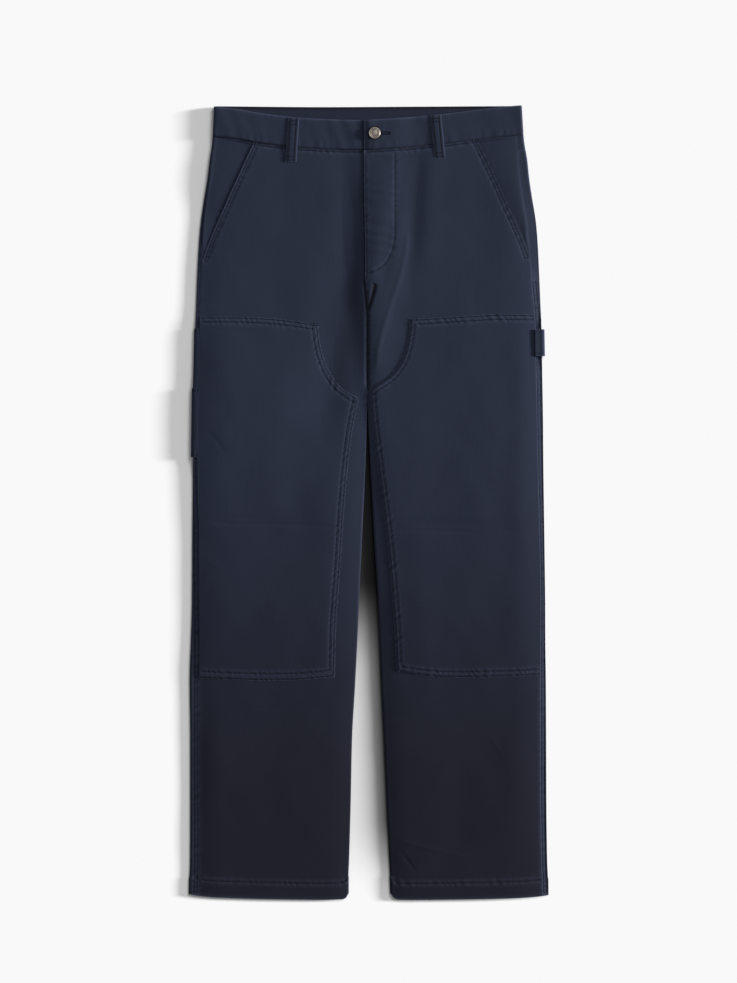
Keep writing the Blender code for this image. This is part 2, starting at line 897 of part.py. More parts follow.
def waistband(name):
    outside, inside = [], []
    for share in (0.0, 1 / 3, 2 / 3, 1.0):
        outer_row, inner_row = [], []
        for side, column, upper, raised in band_stations():
            x, y = band_place(side, column, upper, share)
            outer_row.append(band_point(side, x, y, upper, 0.0, raised))
            inner_row.append(band_point(side, x, y, upper, -BAND_WALL, raised))
        outside.append(outer_row)
        inside.append(inner_row)
    wall(name, outside, inside, navy_canvas())


def front_loop(name, top_x, bottom_x, bottom_y):
    """A belt loop over the band and the seam below it."""
    seam_y = curve(WAIST_SEAM, top_x)
    top_y = seam_y + BAND_HEIGHT - 0.4
    below = seam_y - LOOP_STEP
    side = -1 if top_x < 0 else 1
    on_band = [mix(top_y, seam_y - 0.6, k / 3) for k in range(4)]
    on_front = [mix(below, bottom_y, k / 2) for k in range(3)]
    outside, inside = [], []
    for y in on_band + on_front:
        centre = mix(bottom_x, top_x, (y - bottom_y) / (top_y - bottom_y))
        surface = band_point if y in on_band else cloth_point
        xs = [centre + (k / 3 - 0.5) * LOOP_WIDTH for k in range(4)]
        heights = [surface(side, x, y, True)[2] + SEAM_GAP for x in xs]
        outside.append([(x, y, z + LOOP_WALL) for x, z in zip(xs, heights)])
        inside.append([(x, y, z) for x, z in zip(xs, heights)])
    wall(name, outside, inside, navy_canvas())


def back_loop(name, centre):
    outside, inside = [], []
    for k in range(4):
        y = mix(*BACK_LOOP_Y, k / 3)
        xs = (centre - LOOP_WIDTH / 2, centre + LOOP_WIDTH / 2)
        outside.append([(x, y, 0.0) for x in xs])
        inside.append([(x, y, POCKET_WALL) for x in xs])
    wall(name, outside, inside, navy_canvas())


def waist_button(name):
    """A turned metal button: a flange, a raised rim and a shallow dish."""
    base = band_point(1, BUTTON_X, BUTTON_Y, True, 0.0, BAND_WALL + SEAM_GAP)[2] + SEAM_GAP
    profile = [
        # radius as a share of the button's, height
        (0.55, 0.0),
        (0.60, 0.9),
        (0.97, 1.1),
        (1.00, 1.6),
        (0.93, 2.3),
        (0.80, 2.4),
        (0.70, 2.0),
        (0.30, 2.1),
    ]
    points, faces = [], []
    for share, height in profile:
        for k in range(BUTTON_SEGMENTS):
            angle = 2.0 * math.pi * k / BUTTON_SEGMENTS
            radius = share * BUTTON_RADIUS
            points.append(
                (
                    BUTTON_X + radius * math.cos(angle),
                    BUTTON_Y + radius * math.sin(angle),
                    base + height,
                )
            )
    n = BUTTON_SEGMENTS
    for ring in range(len(profile) - 1):
        for k in range(n):
            a, b = ring * n + k, ring * n + (k + 1) % n
            faces.append((a, b, b + n, a + n))
    faces.append(tuple(reversed(range(n))))
    faces.append(tuple(range((len(profile) - 1) * n, len(profile) * n)))
    add_object(name, points, faces, aged_metal())


def main():
    for old in list(bpy.data.objects):
        bpy.data.objects.remove(old)
    for side, word in ((-1, "right"), (1, "left")):
        plan, number = front_panel(side, f"front_panel_{word}")
        knee_patch(side, f"knee_patch_{word}", plan, number)
        pocket_facing(side, f"pocket_facing_{word}")
        back_plan = back_panel(side, f"back_panel_{word}")
        back_yoke(side, f"back_yoke_{word}")
        if side < 0:
            tool_pockets(back_plan)
    hammer_loop("hammer_loop")
    fly_shield("fly_shield")
    waistband("waistband")
    for name, (top_x, bottom_x, bottom_y) in FRONT_LOOPS.items():
        front_loop(name, top_x, bottom_x, bottom_y)
    for name, centre in BACK_LOOPS.items():
        back_loop(name, centre)
    waist_button("waist_button")


main()
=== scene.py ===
"""Looks of the carpenter trousers, laid flat face up on a white surface.

Sizes are in millimetres in the part's frame: +Y to the waist, +X to the wearer's left, +Z up.
"""

import math

import bpy
import numpy as np
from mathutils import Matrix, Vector

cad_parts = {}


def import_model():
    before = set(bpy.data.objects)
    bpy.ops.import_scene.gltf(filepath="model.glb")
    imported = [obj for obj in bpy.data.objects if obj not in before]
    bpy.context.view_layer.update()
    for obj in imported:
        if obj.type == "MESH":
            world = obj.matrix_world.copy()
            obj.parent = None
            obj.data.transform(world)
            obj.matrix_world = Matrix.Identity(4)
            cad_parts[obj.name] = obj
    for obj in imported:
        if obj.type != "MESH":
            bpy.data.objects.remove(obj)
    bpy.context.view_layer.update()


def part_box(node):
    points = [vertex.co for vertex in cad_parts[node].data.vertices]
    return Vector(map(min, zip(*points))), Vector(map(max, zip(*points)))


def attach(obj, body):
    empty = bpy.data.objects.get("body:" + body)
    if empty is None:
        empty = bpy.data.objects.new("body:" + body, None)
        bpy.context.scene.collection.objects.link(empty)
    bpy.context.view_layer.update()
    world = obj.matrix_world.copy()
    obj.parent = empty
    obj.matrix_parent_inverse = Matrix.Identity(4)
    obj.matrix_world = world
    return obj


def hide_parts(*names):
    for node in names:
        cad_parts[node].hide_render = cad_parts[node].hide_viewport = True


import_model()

MM = 0.001

# Walls and seams: as in the part, but for the fly's rise, the front loops and the button
CLOTH = 1.4
SEAM_GAP = 0.3
SEAM = 0.04
BAND_WALL = 2.2
BAND_HEIGHT = 40.0
BAND_SPACE = 2.2
BAND_MIDDLE_Y = 515.0
BAND_RAISE = 1.9
LAP_COLUMNS = 300
LAP_AWAY = 50.0
BACK_BAND_WEAR, BACK_BAND_LINE, BACK_BAND_SHADE = 0.4, 1.3, 0.25
LOOP_RISE = 1.05
LOOP_WIDTH = 15.4
LOOP_ROW = 4.6
LOOP_ROW_WIDTH = 0.9
POCKET_WALL = 1.2
HEM_DEPTH = 24.0
HEM_SWELL = 0.6
FOLD_REACH = 2.9
BAND_FOLD_REACH = 3.2
CROTCH_Y = 143.8
CROTCH_CREASE = 125.0
CENTRE_BACK_X = -1.35
FLY_LAP = 36.0
FLY_RISE = 0.9
PATCH_RISE = 1.15
FLY_END_Y = 303.0
BUTTON_X, BUTTON_Y = 8.0, 498.0
BUTTON_RADIUS = 7.7
BUTTON_SHADE, BUTTON_SHADE_RADIUS, BUTTON_SHADE_WIDTH = 1.4, 8.3, 1.3
FRONT_LOOPS = {
    # name: (x at the top, x at the bottom, y at the bottom)
    "belt_loop_front_right": (-101.0, -104.8, 459.0),
    "belt_loop_front_left": (90.2, 96.0, 464.0),
}
BACK_LOOPS = {
    "belt_loop_back_right": -122.0,
    "belt_loop_back_centre": CENTRE_BACK_X,
    "belt_loop_back_left": 119.0,
}
BACK_LOOP_Y = (470.0, 533.5)
WAIST_LIFT = POCKET_WALL + SEAM_GAP
WAIST_LIFT_Y = (385.0, 440.0)
TOOL_POCKET_Y = (61.4, 235.2)
SHORT_POCKET_TOP_Y = 154.6
HAMMER_LOOP_Y = (198.0, 234.0)
HAMMER_LOOP_SLACK = 2.5
LIFT_FADE = 26.0
BACK_SHARES = {"hammer_loop": 0.32, "tool_pocket_short": 0.46, "tool_pocket": 0.58}
POCKET_TOP_Y = 316.0
POCKET_UNDERLAP = 14.0
POCKET_FLATTER = 0.6
SHIELD_FOOT_Y = 300.0
AWAY = 30.0
FACING_REVEAL = 12.0
FRONT_FOLD_ANGLES = (75.0, 60.0, 47.0, 35.0, 24.0, 13.0, 4.0)
BACK_FOLD_ANGLES = (75.0, 60.0, 45.0, 30.0, 15.0, 4.0)
LAYER_UNDER = POCKET_WALL + SEAM_GAP
GRID_STEP = 1.9
CLOTH_ANGLE = 70.0
FRONT_WIDTH, FRONT_LENGTH = 213.0, 980.0
PATCH_WIDTH, PATCH_LOWER, PATCH_UPPER = 185.0, 360.0, 96.0
BACK_WIDTH, BACK_LENGTH = 230.0, 950.0
EDGE_STRIP = 12.0

# Seams and stitches
GROOVE_WIDTH = 1.7
# Beside rows: worn, paler cloth; along them: painted shade in their grooves
ROW_PALE, ROW_GROOVE_SHADE, ROW_GROOVE_SHADE_WIDTH = 0.9, 0.95, 1.6
THREAD_HALF = 0.38
STITCH_PITCH, UNDER_PITCH, LOOP_PITCH = 3.1, 3.6, 2.9
BAR_STITCH = (1.3, 0.95, 0.42)
BUTTONHOLE_STITCH = (1.85, 0.98, 0.33)
BUTTONHOLE_X = (15.6, 28.2)
BUTTONHOLE_HALF = 1.3
ROW_PULLS = {
    # kind: (height of its puckers, their length, their reach, depth of its groove)
    "fly curve": (0.24, 9.0, 4.0, 0.34),
    "fly edge": (0.18, 9.0, 3.0, 0.20),
    "centre seam": (0.22, 8.0, 3.5, 0.20),
    "knee top": (0.20, 9.0, 4.0, 0.28),
    "knee curve": (0.30, 8.0, 4.5, 0.28),
    "knee inner": (0.34, 7.5, 4.5, 0.28),
    "knee foot": (0.22, 8.5, 4.0, 0.28),
    "side seam": (0.24, 8.5, 3.0, 0.28),
    "second side seam": (0.22, 8.5, 3.0, 0.28),
    "pocket mouth": (0.26, 9.0, 4.0, 0.28),
    "hem": (0.15, 9.5, 6.0, 0.28),
    "waist seam": (0.13, 11.0, 5.0, 0.28),
    "under": (0.22, 8.5, 5.5, 0.28),
}
SIDE_ROWS_TOP = {-1: (470.0, 60.0), +1: (300.0, 300.0)}
WEDGE = [(8.6, 295.0), (6.4, 284.0), (2.0, 266.0), (0.4, 259.0)]

OUTLINE = [
    # y, right leg: outer x, inner x, left leg: inner x, outer x
    (-536.0, -242.3, -27.3, 29.8, 242.3),
    (-509.6, -241.9, -27.3, 29.0, 242.1),
    (-482.6, -241.0, -26.3, 27.7, 241.0),
    (-401.6, -240.7, -24.0, 24.3, 239.9),
    (-320.6, -240.7, -22.3, 20.9, 239.6),
    (-239.6, -241.4, -17.8, 16.9, 239.2),
    (-185.6, -239.8, -15.1, 14.9, 238.5),
    (-131.6, -238.3, -12.8, 12.6, 238.3),
    (-50.6, -237.9, -9.0, 7.6, 237.3),
    (57.4, -236.7, -3.9, 2.0, 235.8),
    (111.4, -236.0, -2.2, -0.6, 235.4),
    (143.8, -235.6, -1.35, -1.35, 234.9),
    (192.4, -234.6, -1.6, -1.6, 234.0),
    (246.4, -233.5, -1.4, -1.4, 232.9),
    (268.0, -232.7, -2.2, -2.2, 231.9),
    (300.4, -231.5, -5.0, -5.0, 230.6),
    (354.4, -228.6, -4.9, -4.9, 227.9),
    (381.4, -226.1, -5.5, -5.5, 225.5),
    (408.4, -222.1, -5.9, -5.9, 221.1),
    (435.4, -217.6, -6.1, -6.1, 216.9),
    (462.4, -214.3, -6.2, -6.2, 214.0),
    (489.4, -210.6, -6.4, -6.4, 209.6),
    (536.0, -208.6, -7.0, -7.0, 206.6),
]
OUTSEAM_INSET = [
    # y, right leg, left leg
    (-536.0, 13.5, 8.1),
    (-320.6, 12.5, 8.1),
    (-239.6, 13.3, 7.4),
    (-131.6, 9.9, 6.3),
    (-50.6, 9.2, 6.8),
    (57.4, 5.6, 8.0),
    (138.0, 6.0, 8.7),
    (246.4, 6.3, 8.8),
    (300.4, 6.4, 11.0),
    (354.4, 5.4, 13.2),
    (435.4, 4.2, 13.5),
    (496.0, 3.9, 8.5),
]
WAIST_SEAM = [
    # x, y
    (-210.0, 494.1),
    (-179.0, 491.2),
    (-154.6, 486.6),
    (-133.0, 483.4),
    (-92.5, 479.0),
    (-54.7, 476.9),
    (-8.8, 475.8),
    (39.8, 478.4),
    (83.0, 482.2),
    (110.0, 485.0),
    (143.8, 489.4),
    (177.5, 493.2),
    (208.6, 496.0),
]
BACK_WAIST_SEAM = [(-210.0, 494.1), (0.0, 494.2), (208.6, 496.0)]
BACK_TOP = [(-210.0, 535.0), (-60.0, 533.8), (60.0, 534.4), (208.6, 535.3)]
YOKE_SEAM = [
    (-216.0, 474.5),
    (-110.0, 449.0),
    (CENTRE_BACK_X, 432.0),
    (107.0, 449.0),
    (214.0, 476.0),
]
HEM = [
    # x, y
    (-242.3, -527.9),
    (-230.0, -529.9),
    (-205.0, -532.0),
    (-150.0, -533.9),
    (-60.0, -535.2),
    (-36.0, -534.8),
    (-30.5, -532.6),
    (-27.3, -527.0),
    (0.0, -527.0),
    (29.8, -527.0),
    (33.5, -532.4),
    (40.0, -535.0),
    (60.0, -535.3),
    (130.0, -534.6),
    (200.0, -533.0),
    (228.0, -531.3),
    (242.3, -529.3),
]
POCKET_MOUTH = {
    # y, x
    -1: [
        (320.0, -226.2),
        (329.1, -222.9),
        (354.4, -213.8),
        (383.3, -201.2),
        (415.8, -186.7),
        (490.0, -152.4),
    ],
    +1: [
        (324.0, 221.0),
        (341.7, 214.9),
        (365.2, 205.1),
        (405.0, 187.0),
        (444.8, 168.9),
        (492.0, 145.8),
    ],
}
PATCH_INNER = {
    # y, x of the patch's inner edge
    -1: [
        (-260.0, -47.5),
        (-235.2, -45.3),
        (-168.9, -43.6),
        (-82.8, -37.3),
        (19.0, -30.4),
        (91.4, -22.2),
        (124.1, -16.4),
        (140.1, -13.4),
        (150.8, -30.6),
        (162.9, -43.5),
        (180.1, -53.9),
        (193.9, -59.6),
        (209.4, -63.9),
        (226.7, -66.6),
        (241.2, -67.5),
        (330.0, -67.0),
    ],
    +1: [
        (-260.0, 40.0),
        (-227.0, 37.3),
        (-167.1, 34.2),
        (-91.4, 28.4),
        (-24.0, 21.4),
        (51.7, 11.4),
        (89.6, 6.6),
        (127.4, 2.6),
        (150.8, 1.6),
        (161.2, 14.3),
        (171.5, 29.0),
        (185.2, 40.2),
        (200.7, 47.6),
        (214.5, 51.6),
        (230.0, 54.2),
        (245.6, 55.6),
        (330.0, 52.0),
    ],
}
PATCH_CORNER_Y = {-1: 140.1, +1: 150.8}
PATCH_TOP = {
    # x, y
    -1: [
        (-240.0, 251.6),
        (-176.0, 251.1),
        (-134.0, 249.3),
        (-99.5, 245.6),
        (-68.0, 241.0),
        (0.0, 238.0),
    ],
    +1: [
        (0.0, 246.0),
        (58.0, 248.0),
        (109.0, 251.1),
        (143.0, 253.2),
        (178.0, 255.0),
        (240.0, 254.2),
    ],
}
PATCH_BOTTOM = {
    # x, y
    -1: [
        (-242.0, -235.6),
        (-203.0, -237.7),
        (-134.0, -239.8),
        (-99.0, -239.3),
        (-50.0, -235.2),
        (-15.0, -233.0),
    ],
    +1: [
        (15.0, -226.0),
        (37.0, -227.7),
        (75.0, -233.4),
        (113.0, -235.7),
        (189.0, -234.4),
        (240.0, -232.0),
    ],
}
SPACE_INSIDE = [
    # y, room between the front and the back cloth
    (-536.0, 1.5),
    (-450.0, 2.2),
    (-240.0, 2.7),
    (0.0, 2.9),
    (144.0, 3.0),
    (300.0, 3.2),
    (500.0, 3.0),
]
LEAST_SPACE, MOST_SPACE = 1.3, 3.8
POCKET_SPACE = 2.2
SOFT_FOLDS = [
    # x, y, half width, half length, lean of the fold in x per y, height
    (-24.0, 300.0, 15.0, 165.0, -0.05, -1.3),
    (62.0, 400.0, 26.0, 90.0, 0.00, 0.6),
    (24.0, 330.0, 10.0, 90.0, 0.18, -0.7),
    (-150.0, -24.0, 46.0, 7.0, 0.0, -0.5),
    (110.0, -30.0, 60.0, 8.0, 0.0, -0.5),
    (90.0, -470.0, 50.0, 12.0, 0.0, 0.4),
]

# Broad soft forms that the room between the layers does not give: as SOFT_FOLDS
DRAPE = [
    (14.0, 335.0, 27.0, 128.0, 0.02, 2.1),
    (8.0, 215.0, 19.0, 85.0, 0.06, 1.5),
    (-46.0, 225.0, 30.0, 125.0, 0.11, -1.7),
    (-1.4, 212.0, 2.6, 66.0, 0.0, -0.5),
    (-50.0, 170.0, 22.0, 65.0, 0.2, -0.8),
    (62.0, 400.0, 11.0, 75.0, 0.06, -0.9),
    (84.0, 395.0, 16.0, 80.0, 0.05, 0.5),
    (-120.0, 330.0, 26.0, 110.0, 0.06, -0.45),
    (150.0, 340.0, 24.0, 100.0, -0.08, -0.4),
    (-95.0, 90.0, 20.0, 120.0, 0.03, -0.4),
    (96.0, 70.0, 22.0, 130.0, -0.04, -0.25),
    (150.0, 20.0, 26.0, 150.0, 0.02, 0.3),
    (205.0, 60.0, 16.0, 210.0, 0.02, 0.5),
    (-190.0, 60.0, 22.0, 160.0, 0.02, 0.35),
    (-60.0, -120.0, 20.0, 130.0, 0.03, 0.4),
    (70.0, -150.0, 18.0, 110.0, -0.06, 0.4),
    (-130.0, -380.0, 30.0, 120.0, 0.0, -0.4),
    (120.0, -380.0, 26.0, 110.0, 0.05, -0.4),
    (200.0, -350.0, 20.0, 110.0, 0.03, 0.4),
    (-205.0, -380.0, 18.0, 120.0, 0.0, 0.35),
]

CREASES = [
    # half width, height, 0 a rounded fold and 1 a step, then its course
    (
        3.5, 0.52, 0.15,
        [
            (54.0, 372.0), (50.0, 335.0), (43.0, 305.0), (32.0, 272.0),
            (22.0, 240.0), (14.0, 210.0), (10.0, 172.0),
        ],
    ),
    (
        2.6, -0.64, 0.6,
        [
            (-218.0, -23.5), (-196.0, -25.8), (-171.5, -27.4),
            (-133.7, -27.0), (-80.0, -28.5), (-30.0, -31.0),
        ],
    ),
    (2.4, -0.60, 0.6, [(30.0, -38.5), (66.0, -36.0), (120.0, -37.2), (160.0, -39.0)]),
    (2.2, -0.56, 0.6, [(172.0, -36.0), (196.0, -37.0), (216.0, -35.0)]),
    (3.4, 0.42, 0.6, [(-222.0, -282.0), (-170.0, -278.0), (-110.0, -281.0), (-50.0, -279.5)]),
    (2.8, 0.50, 0.7, [(26.0, -282.5), (70.0, -279.0), (105.0, -276.0), (162.0, -269.5), (214.0, -261.0)]),
    (2.4, 0.62, 0.5, [(34.0, -452.0), (60.0, -459.0), (95.9, -468.5), (140.0, -475.5)]),
    (2.6, -0.52, 0.4, [(38.7, -463.0), (52.0, -480.0), (68.4, -502.3)]),
    (2.4, 0.22, 0.4, [(158.0, -308.0), (172.0, -326.0), (190.0, -350.0)]),
    (3.0, -0.22, 0.6, [(-224.0, 236.0), (-180.0, 233.0), (-140.0, 229.0)]),
    (2.8, 0.20, 0.5, [(-150.0, 196.0), (-118.0, 203.0), (-80.0, 214.0)]),
    (2.8, 0.22, 0.5, [(70.0, 214.0), (104.0, 222.0), (150.0, 224.0)]),
    (3.4, -0.26, 0.4, [(-224.0, 102.0), (-205.0, 86.0), (-186.0, 60.0)]),
    (3.4, 0.24, 0.4, [(-226.0, -70.0), (-204.0, -84.0), (-180.0, -92.0)]),
]
FLY_WAVES = [
    # height, length, rise in y for each x, seed
    (0.24, 17.0, 0.12, 0.9),
    (0.168, 9.0, -0.30, 2.1),
]
BAND_WAVES = [
    # height, length, rise in x for each y, seed, middle above the lower edge, half width
    (0.20, 11.5, 0.0, 0.6, 5.0, 6.5),
    (0.08, 13.0, 0.0, 2.2, 37.0, 4.0),
    (0.15, 31.0, 0.4, 1.2, 0.0, math.inf),
]
CREASE_TAPER = 25.0
OUTER_FALL, OUTER_FALL_REACH = (1.25, 2.8), 22.0
INNER_FALL, INNER_FALL_REACH = 1.35, 20.0
VALLEY_X, VALLEY_Y, VALLEY_LEAN, VALLEY_HALF_WIDTH = -24.0, 300.0, 0.10, 12.0
VALLEY_SHADE, VALLEY_TOP_Y, VALLEY_FOOT_Y = 0.38, 325.0, 110.0
CENTRE_SEAM_Y = (150.0, 292.0)
SEAM_HIGHLIGHT, SEAM_HIGHLIGHT_X, SEAM_HIGHLIGHT_WIDTH = 0.7, 3.6, 1.2
SEAM_DEPTH, SEAM_WIDTH = 1.1, 1.2
WEDGE_DEPTH, WEDGE_SHADE, WEDGE_LENGTH = 1.1, 1.7, 36.0
WEDGE_WIDTHS = (2.8, 1.2)
# Worn cloth and painted highlight on the back's outer strip, stronger on the +X side
BACK_WEAR_AND_HIGHLIGHT = {-1: 0.2, +1: 0.55}
BACK_WEAR_AND_HIGHLIGHT_Y = 340.0
MOTTLE = [
    # length along x and along y of a wave, over two pi, and its height
    (24.0, 41.0, 0.16),
    (13.0, 29.0, 0.10),
    (9.0, 12.0, 0.06),
    (31.0, 17.0, 0.10),
]

# Colours
NAVY = (0.0110, 0.0152, 0.0310)
NAVY_DEEP = (0.0086, 0.0116, 0.0236)
# Painted shade that darkens the legs towards the hems
NAVY_SHIN_SHADE = (0.0027, 0.0030, 0.0080)
# Worn, paler cloth, with painted highlights
NAVY_WORN_AND_HIGHLIGHT = (0.0400, 0.0500, 0.0840)
NAVY_SHADE = (0.0020, 0.0024, 0.0052)
THREAD = (0.0040, 0.0052, 0.0110)
SHIN_SHADE_Y = (0.16, -0.46)
BUTTON_SILVER = (0.39, 0.355, 0.31)
BUTTON_HOLLOW = (0.060, 0.050, 0.040)

# Materials; scales are per metre, and pairs are a factor and what is added
CANVAS_SURFACE = {
    "Roughness": 0.88,
    "Specular IOR Level": 0.15,
    "Sheen Weight": 0.13,
    "Sheen Roughness": 0.5,
    "Sheen Tint": (0.50, 0.60, 1.0),
}
THREAD_SURFACE = {"Roughness": 0.8, "Specular IOR Level": 0.1}
FLOOR_SURFACE = {"Roughness": 0.9, "Specular IOR Level": 0.0}
WEAVE = [
    # scale, stretch, share in the threads
    (700.0, (0.06, 1.0, 0.5), 0.22),
    (900.0, (1.0, 0.045, 0.5), 0.62),
    (1500.0, (1.0, 1.0, 1.0), 0.20),
]
WEAVE_DETAIL = 2.0
WEAVE_BUMP = {"Strength": 0.5, "Distance": 0.00022}
TWILL = {"Scale": 260.0, "Distortion": 1.5, "Detail": 1.0}
TWILL_SHARE = 0.30
CLOUD = (9.0, 4.0, (1.3, 0.7, 1.0))
CLOUD_SHARE, THREAD_SHARE = 0.55, 0.75
TONE_SPAN = (0.42, 0.86)
RUBBED_THREADS = (1.3, -0.05)
RUB_AND_HIGHLIGHT_SHARE = 0.75
STRANDS = (2600.0, 2.0)
THREAD_LEVELS = (0.55, 1.5)
PATINA = (420.0, 5.0)
PATINA_SHARE, HOLLOW_SHARE = 0.5, 0.75
PATINA_ROUGHNESS = (0.25, 0.36)

EDGE_WEAR_AND_SHADE = {
    # edge: (how worn, or below 0 how much painted shade lies along it, and its reach)
    "pocket mouth": (0.9, 1.6),
    "hem": (0.8, 1.6),
    "waist seam": (-0.9, 0.8),
    "fly": (1.0, 1.5),
    "centre seam": (-1.6, 1.1),
    "under the fly": (-1.7, 1.3),
    "knee layer": (0.8, 1.0),
    "facing seam": (0.7, 2.0),
    "facing mouth": (-0.35, 7.0),
    "side seam": (0.85, 1.4),
    "yoke seam": (0.8, 1.5),
    "tool pocket": (0.7, 1.0),
    "hammer loop": (0.9, 1.2),
    "band top": (1.3, 1.3),
    "band foot": (-0.9, 0.9),
    "band lap": (0.9, 1.5),
    "beside the lap": (-1.6, 1.2),
    "front loop": (0.9, 1.0),
    "back loop": (0.9, 1.3),
}

# Camera, lights and floor; lengths here are in metres but for PIXEL
PHOTO_HEIGHT = 983
PIXEL = 1.3478
CAMERA_X, CAMERA_Y, CAMERA_HEIGHT = -0.0001, 0.0154, 3.2
CAMERA_FAR = 50.0
CLOTH_TOP = 0.006
LIGHT_AWAY = 3.0
SENSOR = 36.0
LIGHTS = [
    # name, direction to the light as degrees from +X and above the floor, width in degrees, strength
    ("low", 6.0, 9.5, 9.0, 11.2),
    ("high", 48.0, 42.0, 24.0, 1.47),
]
SKY = 0.35
WHITE_LEVEL = 0.947
FLOOR_WHITE = (0.8, 0.8, 0.8)
# Painted shadow on the floor between the legs
FLOOR_SHADE = (0.004, 0.004, 0.005)
FLOOR_HALF = 6.0
LEG_EDGE_X, LEG_EDGE_LEAN = 0.0045, -0.0497
LEG_SHADE_REACH = 0.036
LEG_SHADE_Y = (-0.555, -0.42)
LEG_COVER = 0.03
GAP_SHADE_Y = (-0.24, -0.10)
LEG_SHADE, GAP_SHADE = 0.93, 0.95
GAP_HALF_WIDTH = 0.06
GAP_TOP_Y = 0.2


# Curves and shares


def smoothstep(t):
    t = np.clip(t, 0.0, 1.0)
    return t * t * (3.0 - 2.0 * t)


def bell(away, width):
    """1 at 0, falling off on both sides over a width."""
    return np.exp(-((away / width) ** 2))


def fade(away, reach):
    """1 at 0, falling off over a reach."""
    return np.exp(-away / reach)


def mix(a, b, t):
    return a + (b - a) * t


def curve(table, at, column=1):
    """A smooth curve through a table's rows, without overshoot between them."""
    rows = np.array(table, float)
    xs, ys = rows[:, 0], rows[:, column]
    width = np.diff(xs)
    slope = np.diff(ys) / width
    tangent = np.concatenate([slope[:1], np.zeros(len(xs) - 2), slope[-1:]])
    before, after = slope[:-1], slope[1:]
    same = before * after > 0.0
    total = np.where(same, before + after, 1.0)
    tangent[1:-1] = np.where(same, 2.0 * before * after / total, 0.0)
    at = np.clip(at, xs[0], xs[-1])
    i = np.clip(np.searchsorted(xs, at, side="right") - 1, 0, len(xs) - 2)
    t = (at - xs[i]) / width[i]
    return (
        (1 + 2 * t) * (1 - t) ** 2 * ys[i]
        + t * (1 - t) ** 2 * width[i] * tangent[i]
        + t * t * (3 - 2 * t) * ys[i + 1]
        + t * t * (t - 1) * width[i] * tangent[i + 1]
    )


def outer_edge(side, y):
    return curve(OUTLINE, y, 1 if side < 0 else 4)


def inner_edge(side, y, upper=True):
    edge = curve(OUTLINE, y, 2 if side < 0 else 3)
    return np.where((y > CROTCH_Y) & np.logical_not(upper), CENTRE_BACK_X, edge)


def outseam(side, y):
    return outer_edge(side, y) - side * curve(OUTSEAM_INSET, y, 1 if side < 0 else 2)


def inner_reach(y):
    return mix(1.7, FOLD_REACH, smoothstep((CROTCH_Y - y) / 200.0))


def crotch_share(y):
    return 1.0 - smoothstep((y - CROTCH_Y) / CROTCH_CREASE)


def waist_seam(x):
    return curve(WAIST_SEAM, x)


def yoke_seam(x):
    return curve(YOKE_SEAM, x)


def hem(x):
    return curve(HEM, x)


def hem_top(x):
    return hem(x) + HEM_DEPTH


def waist_cut(x):
    return waist_seam(x) - SEAM / 2.0


def level(height):
    """The same height at every x."""
    return lambda x: height + 0.0 * x


# Heights of the part's surface


def box_share(x, y, x_range, y_range):
    away_x = np.maximum(np.maximum(x_range[0] - x, x - x_range[1]), 0.0)
    away_y = np.maximum(np.maximum(y_range[0] - y, y - y_range[1]), 0.0)
    return smoothstep(1.0 - np.hypot(away_x, away_y) / LIFT_FADE)


def pocket_lift(x, y):
    step = POCKET_WALL + SEAM_GAP
    tall = box_share(x, y, (-260.0, -100.0), TOOL_POCKET_Y)
    short = box_share(x, y, (-260.0, -122.0), (TOOL_POCKET_Y[0], SHORT_POCKET_TOP_Y))
    hammer = box_share(x, y, (130.0, 260.0), HAMMER_LOOP_Y)
    return step * (tall + short + hammer)


def soft_pocket_lift(x, y):
    """What the upper cloth shows of the pockets beneath."""
    across = smoothstep((-x - 60.0) / 80.0)
    along = np.exp(-(((y - 140.0) / 120.0) ** 4))
    return 0.9 * across * along


def waist_lift(y):
    return WAIST_LIFT * smoothstep((y - WAIST_LIFT_Y[0]) / (WAIST_LIFT_Y[1] - WAIST_LIFT_Y[0]))


def fold_height(fold, x, y):
    centre_x, centre_y, half_width, half_length, lean, height = fold
    across = (x - centre_x - lean * (y - centre_y)) / half_width
    along = (y - centre_y) / half_length
    return height * np.exp(-across * across) * np.exp(-(along**4))


def space_inside(side, x, y):
    from_outside = np.abs(outer_edge(side, y) - x)
    from_inside = np.abs(x - inner_edge(side, y))
    space = curve(SPACE_INSIDE, y)
    space = space * (1.0 - 0.30 * bell(from_outside, 22.0))
    space = space * (1.0 - 0.25 * crotch_share(y) * bell(from_inside, 14.0))
    for fold in SOFT_FOLDS:
        space = space + fold_height(fold, x, y)
    least = mix(LEAST_SPACE, POCKET_SPACE, smoothstep((y - 290.0) / 35.0))
    return np.minimum(MOST_SPACE, np.maximum(least, space))


def fly_rise(x, y):
    from_edge = x - inner_edge(1, y)
    across = 1.0 - smoothstep((from_edge - FLY_LAP - 3.0) / 24.0)
    along = smoothstep((y - FLY_END_Y + 62.0) / 55.0)
    return FLY_RISE * across * along


